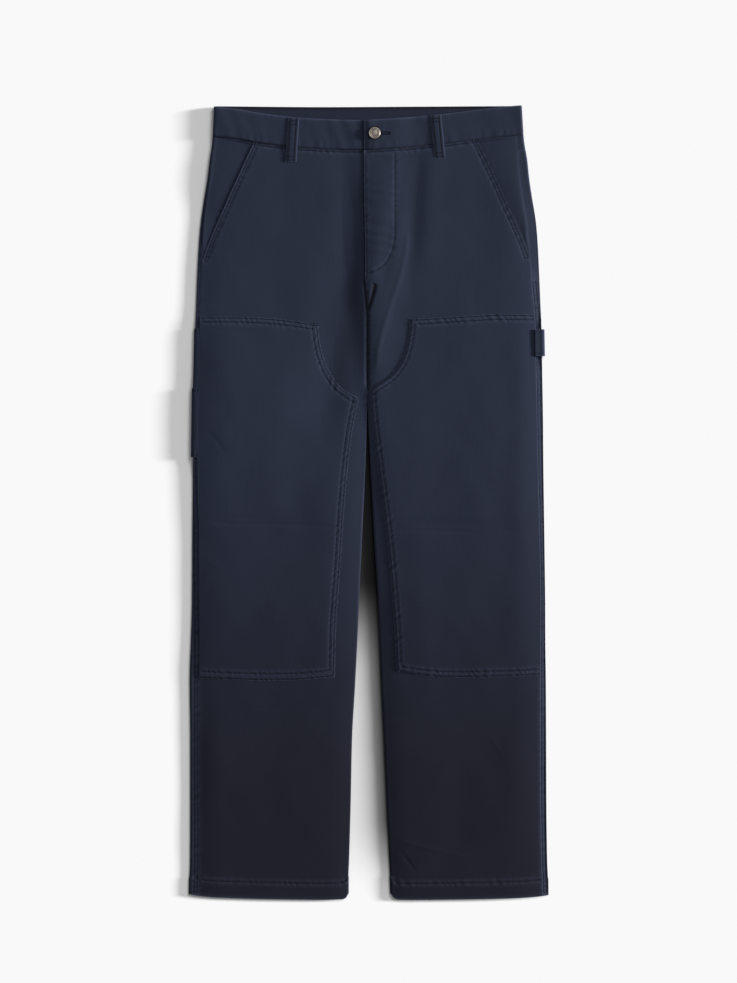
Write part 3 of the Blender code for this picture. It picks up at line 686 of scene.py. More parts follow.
def cloth_point(side, x, y, upper, offset=0.0, relief=0.0, lapped=True):
    """Points on the trousers' outer surface, moved out by offset, as (..., 3)."""
    x, y, upper = np.broadcast_arrays(np.asarray(x, float), np.asarray(y, float), upper)
    half = CLOTH + space_inside(side, x, y) / 2.0
    cos_out = np.clip(1.0 - np.abs(outer_edge(side, y) - x) / FOLD_REACH, 0.0, 1.0)
    cos_in = np.clip(1.0 - np.abs(x - inner_edge(side, y, upper)) / inner_reach(y), 0.0, 1.0)
    share = crotch_share(y)
    rise = np.sqrt(1.0 - cos_out**2) * (1.0 - share * (1.0 - np.sqrt(1.0 - cos_in**2)))
    across = x + side * offset * (cos_out - share * cos_in)
    height = half + offset + np.where(upper, relief, -np.abs(relief))
    if side > 0 and lapped:
        height = height + np.where(upper, fly_rise(x, y), 0.0)
    pockets = pocket_lift(x, y)
    pockets = np.where(upper, mix(pockets, soft_pocket_lift(x, y), rise), pockets)
    z = pockets + waist_lift(y) + half + np.where(upper, height, -height) * rise
    return np.stack([across, y, z], -1)


def band_edge(side, y):
    return outer_edge(side, np.maximum(y, 500.0))


def band_point(side, x, y, upper, offset=0.0, relief=0.0, raised=0.0):
    x, y, upper = np.broadcast_arrays(np.asarray(x, float), np.asarray(y, float), upper)
    half = BAND_WALL + BAND_SPACE / 2.0
    cos_out = np.clip(1.0 - np.abs(band_edge(side, y) - x) / BAND_FOLD_REACH, 0.0, 1.0)
    rise = np.sqrt(1.0 - cos_out**2)
    height = half + offset + np.where(upper, relief, -np.abs(relief))
    across = x + side * offset * cos_out
    z = waist_lift(y) + half + np.where(upper, height, -height) * rise + np.where(upper, raised, 0.0)
    return np.stack([across, y, z], -1)


# Relief: folds, creases, and the puckers and grooves along stitched rows


def along_path(path, x, y):
    """For points: distance to a path, the same with its side's sign, length along it, its length."""
    path = np.asarray(path, float)
    best = np.full(x.shape, 1e9)
    signed = np.zeros(x.shape)
    along = np.zeros(x.shape)
    start = 0.0
    for (ax, ay), (bx, by) in zip(path[:-1], path[1:]):
        length = math.hypot(bx - ax, by - ay)
        ux, uy = (bx - ax) / length, (by - ay) / length
        t = np.clip((x - ax) * ux + (y - ay) * uy, 0.0, length)
        dx, dy = x - ax - t * ux, y - ay - t * uy
        distance = np.hypot(dx, dy)
        nearer = distance < best
        best = np.where(nearer, distance, best)
        signed = np.where(nearer, np.sign(ux * dy - uy * dx) * distance, signed)
        along = np.where(nearer, start + t, along)
        start += length
    return best, signed, along, start


def near(path, x, y, reach):
    path = np.asarray(path)
    low, high = path.min(0) - reach, path.max(0) + reach
    return (x > low[0]) & (x < high[0]) & (y > low[1]) & (y < high[1])


def ripple(along, wave, seed):
    """An uneven wave between about -1 and 1 along a seam."""
    slow = np.sin(2.0 * math.pi * along / (wave * 4.3) + seed)
    phase = 2.0 * math.pi * along / wave + 1.9 * slow + seed * 2.7
    swell = 0.65 + 0.35 * np.sin(2.0 * math.pi * along / (wave * 7.1) + seed * 1.3)
    return np.sin(phase) * swell


def mottle(x, y):
    """Broad, uneven waviness of cloth that has been worn and pressed flat."""
    total = np.zeros(np.shape(x))
    for k, (wave_x, wave_y, height) in enumerate(MOTTLE):
        phase = 1.7 * k
        total = total + height * np.sin(x / wave_x + phase + 0.8 * np.sin(y / (wave_y * 1.7) + k)) * np.sin(
            y / wave_y + 2.3 * phase + 0.9 * np.sin(x / (wave_x * 1.9) - k)
        )
    return total


def dome(x, y):
    """The cloth falls off towards the legs' edges."""
    side = np.where(x < inner_edge(1, y), -1, 1)
    from_outside = np.where(side < 0, x - outer_edge(-1, y), outer_edge(1, y) - x)
    from_inside = np.where(side < 0, inner_edge(-1, y) - x, x - inner_edge(1, y))
    below_waist = 1.0 - smoothstep((y - 380.0) / 80.0)
    below_crotch = crotch_share(y)
    edge_fall = np.where(side < 0, *OUTER_FALL)
    fall = edge_fall * fade(np.maximum(from_outside, 0.0), OUTER_FALL_REACH) * below_waist
    return -fall - INNER_FALL * fade(np.maximum(from_inside, 0.0), INNER_FALL_REACH) * below_crotch


def base_relief(x, y):
    total = mottle(x, y) + dome(x, y)
    for fold in DRAPE:
        total = total + fold_height(fold, x, y)
    for half_width, height, step, path in CREASES:
        pick = near(path, x, y, half_width * 4.0)
        _, signed, along, length = along_path(path, x[pick], y[pick])
        t = signed / half_width
        taper = smoothstep(along / CREASE_TAPER) * smoothstep((length - along) / CREASE_TAPER)
        form = mix(np.exp(-t * t), -1.6 * t * np.exp(-t * t), step)
        total[pick] += height * form * taper
    return total


class Row:
    """A row of stitches: its path and the pull that it gives the cloth."""

    count = 0

    def __init__(self, kind, path):
        self.path = np.asarray(path, float)
        self.pucker, self.wave, self.reach, self.groove = ROW_PULLS[kind]
        Row.count += 1
        self.seed = 0.37 * Row.count

    def relief(self, x, y):
        total = np.zeros(np.shape(x))
        pick = near(self.path, x, y, self.reach * 2.5)
        if pick.any():
            distance, signed, along, _ = along_path(self.path, x[pick], y[pick])
            waves = ripple(along + 0.7 * signed, self.wave, self.seed)
            pulled = self.pucker * waves * bell(distance, self.reach)
            total[pick] = pulled - self.groove * bell(distance, GROOVE_WIDTH)
        return total


def stronger(a, b):
    """Of two shares, the one further from 0."""
    return np.where(np.abs(a) >= np.abs(b), a, b)


def worn(edge, away):
    """How worn the cloth is at a distance from one of the listed edges, or below 0 how much painted shade
    it has there.
    """
    strength, reach = EDGE_WEAR_AND_SHADE[edge]
    return strength * fade(away, reach)


def rows_relief(rows, x, y):
    return sum((row.relief(x, y) for row in rows), np.zeros(np.shape(x)))


def seam_share(rows, x, y, reach=3.5):
    """How worn the cloth is beside rows of stitches, and below 0 the painted shade in the grooves along
    them.
    """
    share = np.zeros(np.shape(x))
    for row in rows:
        pick = near(row.path, x, y, reach * 2.5)
        if pick.any():
            distance, _, along, _ = along_path(row.path, x[pick], y[pick])
            uneven = 0.7 + 0.3 * ripple(along, row.wave, row.seed + 1.1)
            beside = ROW_PALE * uneven * bell(distance, reach)
            # The dark line along each row is painted shade in its groove.
            thread = ROW_GROOVE_SHADE * bell(distance, ROW_GROOVE_SHADE_WIDTH)
            share[pick] = stronger(beside - thread, share[pick])
    return share


# Paths of the rows


def down_y(x_of_y, low, high, step=6.0):
    ys = np.linspace(low, high, max(2, int(abs(high - low) / step) + 1))
    return np.stack([x_of_y(ys), ys], -1)


def along_x(y_of_x, start, end, step=6.0):
    xs = np.linspace(start, end, max(2, int(abs(end - start) / step) + 1))
    return np.stack([xs, y_of_x(xs)], -1)


def lengths_along(points):
    steps = np.linalg.norm(np.diff(points, axis=0), axis=1)
    return np.concatenate([[0.0], np.cumsum(steps)])


def shifted(path, distance):
    """A path moved to its left."""
    path = np.asarray(path, float)
    run = np.gradient(path, axis=0)
    run /= np.linalg.norm(run, axis=1)[:, None]
    return path + distance * np.stack([-run[:, 1], run[:, 0]], -1)


def cut(path, start, end):
    """A path without a length at its start and at its end."""
    path = np.asarray(path, float)
    lengths = lengths_along(path)
    at = np.linspace(start, lengths[-1] - end, len(path))
    return np.stack([np.interp(at, lengths, path[:, k]) for k in (0, 1)], -1)


# Meshes


def add_mesh(name, points, quads, finish, attributes=None, smooth_angle=60.0):
    mesh = bpy.data.meshes.new(name)
    points = np.asarray(points, np.float32).reshape(-1, 3) * MM
    quads = np.asarray(quads, np.int32)
    corners = quads.shape[1]
    mesh.vertices.add(len(points))
    mesh.vertices.foreach_set("co", points.ravel())
    mesh.loops.add(quads.size)
    mesh.loops.foreach_set("vertex_index", quads.ravel())
    mesh.polygons.add(len(quads))
    mesh.polygons.foreach_set("loop_start", np.arange(0, quads.size, corners, dtype=np.int32))
    mesh.update(calc_edges=True)
    mesh.materials.append(finish)
    mesh.shade_smooth()
    mesh.set_sharp_from_angle(angle=math.radians(smooth_angle))
    for key, values in (attributes or {}).items():
        attribute = mesh.attributes.new(key, "FLOAT", "POINT")
        attribute.data.foreach_set("value", np.asarray(values, np.float32))
    made = bpy.data.objects.new(name, mesh)
    bpy.context.scene.collection.objects.link(made)
    return made


def grid_quads(rows, columns):
    index = np.arange(rows * columns).reshape(rows, columns)
    return np.stack([index[:-1, :-1], index[:-1, 1:], index[1:, 1:], index[1:, :-1]], -1).reshape(-1, 4)


def edge_loop(rows, columns):
    index = np.arange(rows * columns).reshape(rows, columns)
    return np.concatenate([index[0, :], index[1:, -1], index[-1, -2::-1], index[-2:0:-1, 0]])


def rim_quads(loop, under):
    return np.stack([np.roll(loop, -1), loop, under, np.roll(under, -1)], -1)


def cloth_shell(name, node, outside, inside, wear_highlight_and_shade, flip=False):
    """A shell in place of a node, with its edges turned down by the wall's thickness."""
    rows, columns = outside.shape[:2]
    loop = edge_loop(rows, columns)
    edge = inside.reshape(-1, 3)[loop]
    under = rows * columns + np.arange(len(loop))
    quads = np.concatenate([grid_quads(rows, columns), rim_quads(loop, under)])
    if flip:
        quads = quads[:, ::-1]
    points = np.concatenate([outside.reshape(-1, 3), edge])
    # The wear values carry painted light as well: above 0 worn, paler cloth and painted highlights, below 0
    # painted shade.
    wear_highlight_and_shade = np.concatenate([wear_highlight_and_shade.ravel(), wear_highlight_and_shade.ravel()[loop]])
    made = add_mesh(f"{name}_cloth", points, quads, CANVAS, {"wear_highlight_and_shade": wear_highlight_and_shade}, CLOTH_ANGLE)
    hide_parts(node)
    return made


def grid(rows, columns, turns=10):
    """Where rows (low y of x, high y of x, shares) cross columns (first x of y, last x of y, shares)."""
    row_count = sum(len(shares) for _, _, shares in rows)
    column_count = sum(len(shares) for _, _, shares in columns)
    x = np.zeros((row_count, column_count))
    y = np.zeros((row_count, column_count))
    for _ in range(turns):
        at = 0
        for low, high, shares in rows:
            span = slice(at, at + len(shares))
            y[span] = mix(low(x[span]), high(x[span]), np.asarray(shares)[:, None])
            at += len(shares)
        at = 0
        for first, last, shares in columns:
            span = slice(at, at + len(shares))
            x[:, span] = mix(first(y[:, span]), last(y[:, span]), np.asarray(shares)[None, :])
            at += len(shares)
    return x, y


def even(length, spacing, with_end=True):
    count = max(1, round(length / spacing))
    return np.arange(count + (1 if with_end else 0)) / count


def arc(reach, angle):
    return reach * (1.0 - math.cos(math.radians(angle)))


# Materials


class Material:
    """A new material; its methods add nodes and give their outputs."""

    def __init__(self, name, surface):
        self.made = bpy.data.materials.new(name)
        self.made.use_nodes = True
        self.nodes = self.made.node_tree.nodes
        self.shader = self.nodes["Principled BSDF"]
        self.place = self.node("TexCoord", {}).outputs["Object"]
        self.fill(self.shader, surface)

    def fill(self, node, inputs):
        """Sets a node's inputs, each to a value, a colour or another node's output."""
        for key, value in inputs.items():
            socket = node.inputs[key]
            if isinstance(value, bpy.types.NodeSocket):
                self.made.node_tree.links.new(value, socket)
            elif socket.type == "RGBA":
                socket.default_value = (*value, 1.0)
            else:
                socket.default_value = value

    def node(self, kind, inputs, **settings):
        made = self.nodes.new(f"ShaderNode{kind}")
        for key, value in settings.items():
            setattr(made, key, value)
        self.fill(made, inputs)
        return made

    def attribute(self, name):
        return self.node("Attribute", {}, attribute_name=name).outputs["Fac"]

    def maths(self, operation, *values):
        return self.node("Math", dict(enumerate(values)), operation=operation).outputs[0]

    def along(self):
        """The place along X and along Y, in metres."""
        apart = self.node("SeparateXYZ", {"Vector": self.place})
        return apart.outputs["X"], apart.outputs["Y"]

    def noise(self, scale, detail, stretch=(1.0, 1.0, 1.0)):
        mapped = self.node("Mapping", {"Vector": self.place, "Scale": stretch})
        inputs = {"Vector": mapped.outputs["Vector"], "Scale": scale, "Detail": detail}
        return self.node("TexNoise", inputs).outputs["Fac"]

    def ramp(self, value, span, interpolation="SMOOTHSTEP"):
        """From 0 to 1 as a value goes from one end of a span to the other."""
        inputs = {"Value": value, "From Min": span[0], "From Max": span[1]}
        return self.node("MapRange", inputs, interpolation_type=interpolation).outputs["Result"]

    def between(self, share, low, high):
        """A colour at a share of the way between two."""
        return self.node("Mix", {0: share, 6: low, 7: high}, data_type="RGBA").outputs[2]


def canvas():
    """Washed cotton twill: slubby threads along the cloth, a fine diagonal, paler worn seams with painted
    highlights, painted shade in seams, grooves and hollows, and painted shade towards the hems.
    """
    cloth = Material("navy_canvas_worn_with_painted_light", CANVAS_SURFACE)
    wear_highlight_and_shade = cloth.attribute("wear_highlight_and_shade")
    threads = 0.0
    for scale, stretch, share in WEAVE:
        threads = cloth.maths("MULTIPLY_ADD", cloth.noise(scale, WEAVE_DETAIL, stretch), share, threads)
    tone = cloth.maths("MULTIPLY", threads, THREAD_SHARE)
    tone = cloth.maths("MULTIPLY_ADD", cloth.noise(*CLOUD), CLOUD_SHARE, tone)
    colour = cloth.between(cloth.ramp(tone, TONE_SPAN, "LINEAR"), NAVY_DEEP, NAVY)
    # Painted shade: the cloth darkens towards the hems, standing in for light that falls off down the legs.
    shin_shade = cloth.ramp(cloth.along()[1], SHIN_SHADE_Y)
    colour = cloth.between(shin_shade, colour, NAVY_SHIN_SHADE)
    # Above 0: worn, paler cloth and painted highlights, with the threads showing through.
    rubbed_threads = cloth.maths("MULTIPLY_ADD", threads, *RUBBED_THREADS)
    rub_and_painted_light = cloth.maths("MULTIPLY", cloth.maths("MAXIMUM", wear_highlight_and_shade, 0.0), rubbed_threads)
    colour = cloth.between(cloth.maths("MULTIPLY", rub_and_painted_light, RUB_AND_HIGHLIGHT_SHARE), colour, NAVY_WORN_AND_HIGHLIGHT)
    # Below 0 the values are painted shade.
    sunk = cloth.maths("MAXIMUM", cloth.maths("MULTIPLY", wear_highlight_and_shade, -1.0), 0.0)
    colour = cloth.between(cloth.maths("MINIMUM", sunk, 1.0), colour, NAVY_SHADE)
    settings = {"wave_type": "BANDS", "bands_direction": "DIAGONAL"}
    twill = cloth.node("TexWave", {"Vector": cloth.place, **TWILL}, **settings)
    height = cloth.maths("MULTIPLY_ADD", twill.outputs["Fac"], TWILL_SHARE, threads)
    bump = cloth.node("Bump", {"Height": height, **WEAVE_BUMP})
    cloth.fill(cloth.shader, {"Base Color": colour, "Normal": bump.outputs["Normal"]})
    return cloth.made


def thread_material():
    thread = Material("navy_thread", THREAD_SURFACE)
    dark, pale = (tuple(level * c for c in THREAD) for level in THREAD_LEVELS)
    colour = thread.between(thread.noise(*STRANDS), dark, pale)
    thread.fill(thread.shader, {"Base Color": colour})
    return thread.made


def metal_material():
    """Aged silver with a warm, darker cast in its hollows."""
    metal = Material("aged_metal", {"Metallic": 1.0})
    patina = metal.noise(*PATINA)
    dark = metal.maths("MULTIPLY", metal.attribute("hollow"), HOLLOW_SHARE)
    dark = metal.maths("MULTIPLY_ADD", patina, PATINA_SHARE, dark)
    colour = metal.between(dark, BUTTON_SILVER, BUTTON_HOLLOW)
    rough = metal.maths("MULTIPLY_ADD", patina, *PATINA_ROUGHNESS)
    metal.fill(metal.shader, {"Base Color": colour, "Roughness": rough})
    return metal.made


CANVAS = canvas()
THREADS = thread_material()
METALS = metal_material()


# Stitched rows


def inseam_edge(side):
    return lambda y: curve(PATCH_INNER[side], y)


def patch_rows(side):
    """Rows round the second knee layer: two along its top, its curve and its inner edge, two below."""
    right = side < 0
    seam_inset = -side * 2.0
    corner_y = PATCH_CORNER_Y[side]
    curved = down_y(inseam_edge(side), corner_y + 1.0, 244.0 if right else 249.0)
    straight = down_y(inseam_edge(side), -234.0 if right else -227.0, corner_y - 1.0)
    top_start, top_end = outseam(side, 251.0) + seam_inset, side * (66.0 if right else 55.0)
    low_start, low_end = outseam(side, -236.0) + seam_inset, side * (45.0 if right else 37.0)
    wide_top = along_x(lambda x: curve(PATCH_TOP[side], x), top_start, top_end)
    wide_low = along_x(lambda x: curve(PATCH_BOTTOM[side], x), low_start, low_end)
    rows = []
    for inset in (1.8, 7.4):
        rows.append(Row("knee top", cut(wide_top, 0.0, inset) - [0.0, inset]))
        rows.append(Row("knee curve", shifted(curved, -side * inset)))
        rows.append(Row("knee inner", cut(shifted(straight, -side * inset), inset, 0.0)))
    for inset in (1.8, 10.0 if right else 8.4):
        rows.append(Row("knee foot", cut(wide_low, 0.0, inset) + [0.0, inset]))
    return rows


def panel_rows(side):
    """Rows on the panels of one leg: side seam, pocket mouth, hem and waist seam."""
    right = side < 0

    def beside_seam(distance, top):
        return down_y(lambda y: outseam(side, y) + side * distance, -526.0, top, 10.0)

    first_top, second_top = SIDE_ROWS_TOP[side]
    rows = [Row("side seam", beside_seam(2.0, first_top))]
    rows.append(Row("second side seam", beside_seam(6.0, second_top)))
    mouth_low = POCKET_MOUTH[side][0][0] + 6.0
    for inset in (3.2, 7.6):
        mouth = down_y(lambda y: curve(POCKET_MOUTH[side], y) - side * inset, mouth_low, 489.0)
        rows.append(Row("pocket mouth", mouth))
    hem_start = outseam(side, -515.0) + side * 4.0
    hem_end = float(inner_edge(side, -515.0) + side * 3.0)
    rows.append(Row("hem", along_x(hem_row, hem_start, hem_end)))
    waist = along_x(lambda x: waist_seam(x) - 3.2, side * 200.0, -8.0 if right else -3.0)
    rows.append(Row("waist seam", waist))
    return rows


def hem_row(x):
    return hem(x) + 22.6


def fly_rows():
    """The curved row of the fly, the row along its edge and the one beside the centre seam below."""
    straight = [(36.2, y) for y in np.linspace(472.0, 368.0, 12)]
    turn = [
        (35.6, 354.0), (33.4, 343.0), (29.5, 333.0), (24.5, 324.5),
        (18.0, 317.5), (9.0, 312.5), (-1.5, 309.6),
    ]
    edge = down_y(lambda y: inner_edge(1, y) + 2.0, 304.0, 472.0)
    below = down_y(lambda y: inner_edge(1, y) + 2.4, 152.0, 286.0)
    return [
        Row("fly curve", straight + turn),
        Row("fly edge", edge),
        Row("centre seam", below),
    ]


BASE_ROWS = fly_rows()
PATCH_ROWS = {}
for leg_side in (-1, 1):
    PATCH_ROWS[leg_side] = patch_rows(leg_side)
    BASE_ROWS += panel_rows(leg_side)


def base_surface_relief(x, y):
    return base_relief(x, y) + rows_relief(BASE_ROWS, x, y)


def patch_relief(side, x, y):
    return base_relief(x, y) + rows_relief(PATCH_ROWS[side], x, y)


# Front

def fly_waves(x, y):
    """Short waves across the fly, between its edge and its curved row."""
    from_edge = x - inner_edge(1, y)
    across = smoothstep(from_edge / 6.0) * (1.0 - smoothstep((from_edge - 30.0) / 12.0))
    along = smoothstep((y - 318.0) / 20.0) * (1.0 - smoothstep((y - 462.0) / 12.0))
    waves = sum(height * ripple(y + lean * x, length, seed) for height, length, lean, seed in FLY_WAVES)
    return waves * across * along


def front_outer(side, y):
    """The side seam, or the pocket mouth where that lies further in."""
    mouth = np.where(y > POCKET_MOUTH[side][0][0], curve(POCKET_MOUTH[side], y), side * 999.0)
    return -side * np.maximum(-side * outseam(side, y), -side * mouth) - side * SEAM / 2.0


def front_columns(side, spacing):
    def outer(y):
        return front_outer(side, y)

    def inner(y):
        return inner_edge(side, y) + side * SEAM / 2.0

    def flat_end(y):
        return inner(y) + side * inner_reach(y)

    def fold(angle):
        return lambda y: inner(y) + side * arc(1.0, angle) * inner_reach(y)

    def near_end(y):
        return inner(y) + side * EDGE_STRIP

    columns = [(outer, near_end, even(FRONT_WIDTH, spacing, False)), (near_end, flat_end, even(10.0, 0.9))]
    for angle in FRONT_FOLD_ANGLES:
        columns.append((fold(angle), fold(angle), [0.0]))
    return columns


def hem_swell(x, y):
    """The turned-up hem is thicker than the leg above it."""
    return HEM_SWELL * (1.0 - smoothstep((y - hem(x) - HEM_DEPTH + 2.5) / 3.0))


def front_panel(side, word):
    def near_waist(x):
        return waist_seam(x) - 8.0

    rows = [
        (hem, hem_top, even(HEM_DEPTH, 1.5, False)),
        (hem_top, near_waist, even(FRONT_LENGTH, GRID_STEP, False)),
        (near_waist, waist_cut, even(8.0, 1.0)),
    ]
    x, y = grid(rows, front_columns(side, GRID_STEP))
    relief = base_surface_relief(x, y)
    from_centre = np.abs(x - inner_edge(side, y))
    from_wedge, _, along_wedge, _ = along_path(WEDGE, x, y)
    if side > 0:
        wedge_width = mix(*WEDGE_WIDTHS, along_wedge / WEDGE_LENGTH)
        wedge = bell(from_wedge, wedge_width) * (along_wedge > 0.0)
        relief = relief + fly_waves(x, y) - WEDGE_DEPTH * wedge
    else:
        above = smoothstep((y - CENTRE_SEAM_Y[0]) / 12.0)
        relief = relief - SEAM_DEPTH * above * bell(from_centre, SEAM_WIDTH)
    swell = hem_swell(x, y)
    outside = cloth_point(side, x, y, True, swell, relief)
    inside = cloth_point(side, x, y, True, -CLOTH, relief)
    mouth = np.abs(curve(POCKET_MOUTH[side], y) - x) + AWAY * (y < POCKET_MOUTH[side][0][0] + 4.0)
    wear_highlight_and_shade = seam_share(BASE_ROWS, x, y)
    wear_highlight_and_shade = stronger(wear_highlight_and_shade, worn("pocket mouth", mouth))
    wear_highlight_and_shade = stronger(wear_highlight_and_shade, worn("hem", y - hem(x)))
    # Painted shade along the waist seam.
    wear_highlight_and_shade = stronger(wear_highlight_and_shade, worn("waist seam", waist_seam(x) - y))
    if side > 0:
        edge = np.where(y > FLY_END_Y, from_centre, AWAY)
        wear_highlight_and_shade = stronger(wear_highlight_and_shade, worn("fly", edge))
    low, high = CENTRE_SEAM_Y
    seam = smoothstep((y - low) / 12.0) * (1.0 - smoothstep((y - high) / 10.0))
    # Painted shade in the centre seam.
    wear_highlight_and_shade = wear_highlight_and_shade + seam * worn("centre seam", from_centre)
    if side > 0:
        # Painted shade in the notch under the fly.
        wear_highlight_and_shade = wear_highlight_and_shade - WEDGE_SHADE * wedge
    else:
        # Painted highlight where the rounded cloth beside the centre seam catches the light.
        wear_highlight_and_shade = wear_highlight_and_shade + SEAM_HIGHLIGHT * seam * bell(from_centre - SEAM_HIGHLIGHT_X, SEAM_HIGHLIGHT_WIDTH)
        # Painted shade in the valley left of the fly.
        shade_x = VALLEY_X - VALLEY_LEAN * (VALLEY_Y - y)
        along_shade = smoothstep((VALLEY_TOP_Y - y) / 60.0) * smoothstep((y - VALLEY_FOOT_Y) / 40.0)
        wear_highlight_and_shade = wear_highlight_and_shade - VALLEY_SHADE * along_shade * bell(x - shade_x, VALLEY_HALF_WIDTH)
        # Painted shadow along the edge under the fly.
        below_edge = smoothstep((y - high + 2.0) / 12.0)
        wear_highlight_and_shade = wear_highlight_and_shade + below_edge * worn("under the fly", from_centre)
    return cloth_shell(f"front_{word}", f"front_panel_{word}", outside, inside, wear_highlight_and_shade, side < 0)


def knee_patch(side, word):
    low = PATCH_BOTTOM[side]
    high = PATCH_TOP[side]
    corner = level(PATCH_CORNER_Y[side])

    def strip_top(x):
        return curve(low, x) + EDGE_STRIP

    rows = [
        (lambda x: curve(low, x), strip_top, even(EDGE_STRIP, 1.0, False)),
        (strip_top, corner, even(PATCH_LOWER, GRID_STEP, False)),
        (corner, lambda x: curve(high, x) - 10.0, even(PATCH_UPPER, 1.5, False)),
        (lambda x: curve(high, x) - 10.0, lambda x: curve(high, x), even(10.0, 1.0)),
    ]

    def outer(y):
        return front_outer(side, y)

    def inner(y):
        return curve(PATCH_INNER[side], y)

    def before(y):
        return inner(y) + side * EDGE_STRIP

    columns = [
        (outer, before, even(PATCH_WIDTH, GRID_STEP, False)),
        (before, inner, even(EDGE_STRIP, 1.0)),
    ]
    x, y = grid(rows, columns)
    relief = patch_relief(side, x, y)
    edge = np.minimum(np.abs(x - inner(y)), np.minimum(y - curve(low, x), curve(high, x) - y))
    rounding = 0.75 * fade(np.maximum(edge, 0.0), 2.5)
    outside = cloth_point(side, x, y, True, PATCH_RISE, relief - rounding)
    inside = cloth_point(side, x, y, True, SEAM_GAP, base_relief(x, y))
    wear_highlight_and_shade = stronger(seam_share(PATCH_ROWS[side], x, y), worn("knee layer", np.maximum(edge, 0.0)))
    return cloth_shell(f"knee_{word}", f"knee_patch_{word}", outside, inside, wear_highlight_and_shade, side < 0)


def facing_drop(share, width):
    full = 0.8 + 1.0 * smoothstep((share - 1.0) * 8.0)
    return full * np.maximum(smoothstep(share), 1.0 - smoothstep(width / FACING_REVEAL))


def pocket_facing(side, word):
    def seam(y):
        return outseam(side, y) - side * SEAM / 2.0

    def mouth(y):
        return -side * np.maximum(-side * curve(POCKET_MOUTH[side], y), -side * seam(y) + 0.5)

    def hidden(y):
        return mouth(y) - side * POCKET_UNDERLAP

    rows = [(level(POCKET_TOP_Y), waist_cut, even(160.0, 2.0))]
    columns = [(seam, mouth, even(60.0, 1.8, False)), (mouth, hidden, even(POCKET_UNDERLAP, 3.0))]
    x, y = grid(rows, columns)
    width = np.abs(seam(y) - mouth(y))
    share = np.clip(np.abs(x - seam(y)) / np.maximum(width, 0.1), 0.0, 1.2)
    drop = facing_drop(share, width)
    relief = base_relief(x, y) * POCKET_FLATTER
    outside = cloth_point(side, x, y, True, -drop, relief)
    inside = cloth_point(side, x, y, True, -drop - POCKET_WALL, relief)
    # Worn, paler cloth along the side seam, and painted shade beside the pocket mouth.
    wear_highlight_and_shade = worn("facing seam", np.abs(x - seam(y))) + worn("facing mouth", np.abs(x - mouth(y)))
    return cloth_shell(f"pocket_facing_{word}", f"pocket_facing_{word}", outside, inside, wear_highlight_and_shade, side < 0)


def fly_shield():
    def start(y):
        return inner_edge(1, y) + SEAM / 2.0

    rows = [(level(SHIELD_FOOT_Y), waist_cut, even(176.0, 3.0))]
    x, y = grid(rows, [(start, lambda y: start(y) + FLY_LAP, even(FLY_LAP, 3.0))])
    outside = cloth_point(1, x, y, True, lapped=False)
    inside = cloth_point(1, x, y, True, -POCKET_WALL, lapped=False)
    return cloth_shell("fly_shield", "fly_shield", outside, inside, 0.0 * x)


# Back


def back_columns(side, top_step, under_step, arc_step=12.0):
    """Columns of the back as (first, last, shares, upper)."""

    def outer(y):
        return outer_edge(side, y)

    def inner(y):
        return inner_edge(side, y, False) + side * SEAM / 2.0

    def flat_end(y):
        return inner(y) + side * inner_reach(y)

    def start(y):
        return outseam(side, y) + side * SEAM / 2.0

    def turned(angle):
        return lambda y: outer(y) - side * arc(FOLD_REACH, angle)

    def inner_fold(angle):
        return lambda y: inner(y) + side * arc(1.0, angle) * inner_reach(y)

    columns = [(start, turned(90.0), even(8.0, top_step, False), True)]
    angles = np.arange(90.0, -1.0, -arc_step)
    columns += [(turned(a), turned(a), [0.0], True) for a in angles]
    columns += [(turned(a), turned(a), [0.0], False) for a in angles[-2:0:-1]]
    columns.append((turned(90.0), flat_end, even(BACK_WIDTH, under_step), False))
    for angle in BACK_FOLD_ANGLES:
        columns.append((inner_fold(angle), inner_fold(angle), [0.0], False))
    return columns


def back_plan(rows, columns):
    x, y = grid(rows, [(first, last, shares) for first, last, shares, _ in columns])
    upper = np.concatenate([np.full(len(shares), flag) for _, _, shares, flag in columns])
    return x, y, np.broadcast_to(upper, x.shape)


def under_rows(side):
    """Rows of stitches under the leg: inseam and centre back, yoke and hem."""
    rows = []
    for inset in (3.4, 8.6):
        inseam = down_y(lambda y: inner_edge(side, y, False) + side * inset, -526.0, 428.0, 10.0)
        rows.append(Row("under", inseam))
        yoke = along_x(lambda x: yoke_seam(x) - inset + 1.4, side * 208.0, side * 4.0, 8.0)
        rows.append(Row("under", yoke))
    rows.append(Row("under", along_x(hem_row, side * 236.0, side * 36.0, 8.0)))
    return rows


UNDER_ROWS = {side: under_rows(side) for side in (-1, 1)}


def back_relief(side, x, y, upper):
    """Relief of the back cloth: seams that go on from the front, and shallow hollows beneath."""
    top = base_surface_relief(x, y)
    under = rows_relief(UNDER_ROWS[side], x, y) * 0.5
    for half_width, height, _, path in CREASES[:6]:
        pick = near(path, x, y, half_width * 6.0)
        distance, _, along, length = along_path(path, x[pick], y[pick])
        taper = smoothstep(along / CREASE_TAPER) * smoothstep((length - along) / CREASE_TAPER)
        under[pick] += abs(height) * bell(distance, 1.6 * half_width) * taper
    return np.where(upper, top, under)


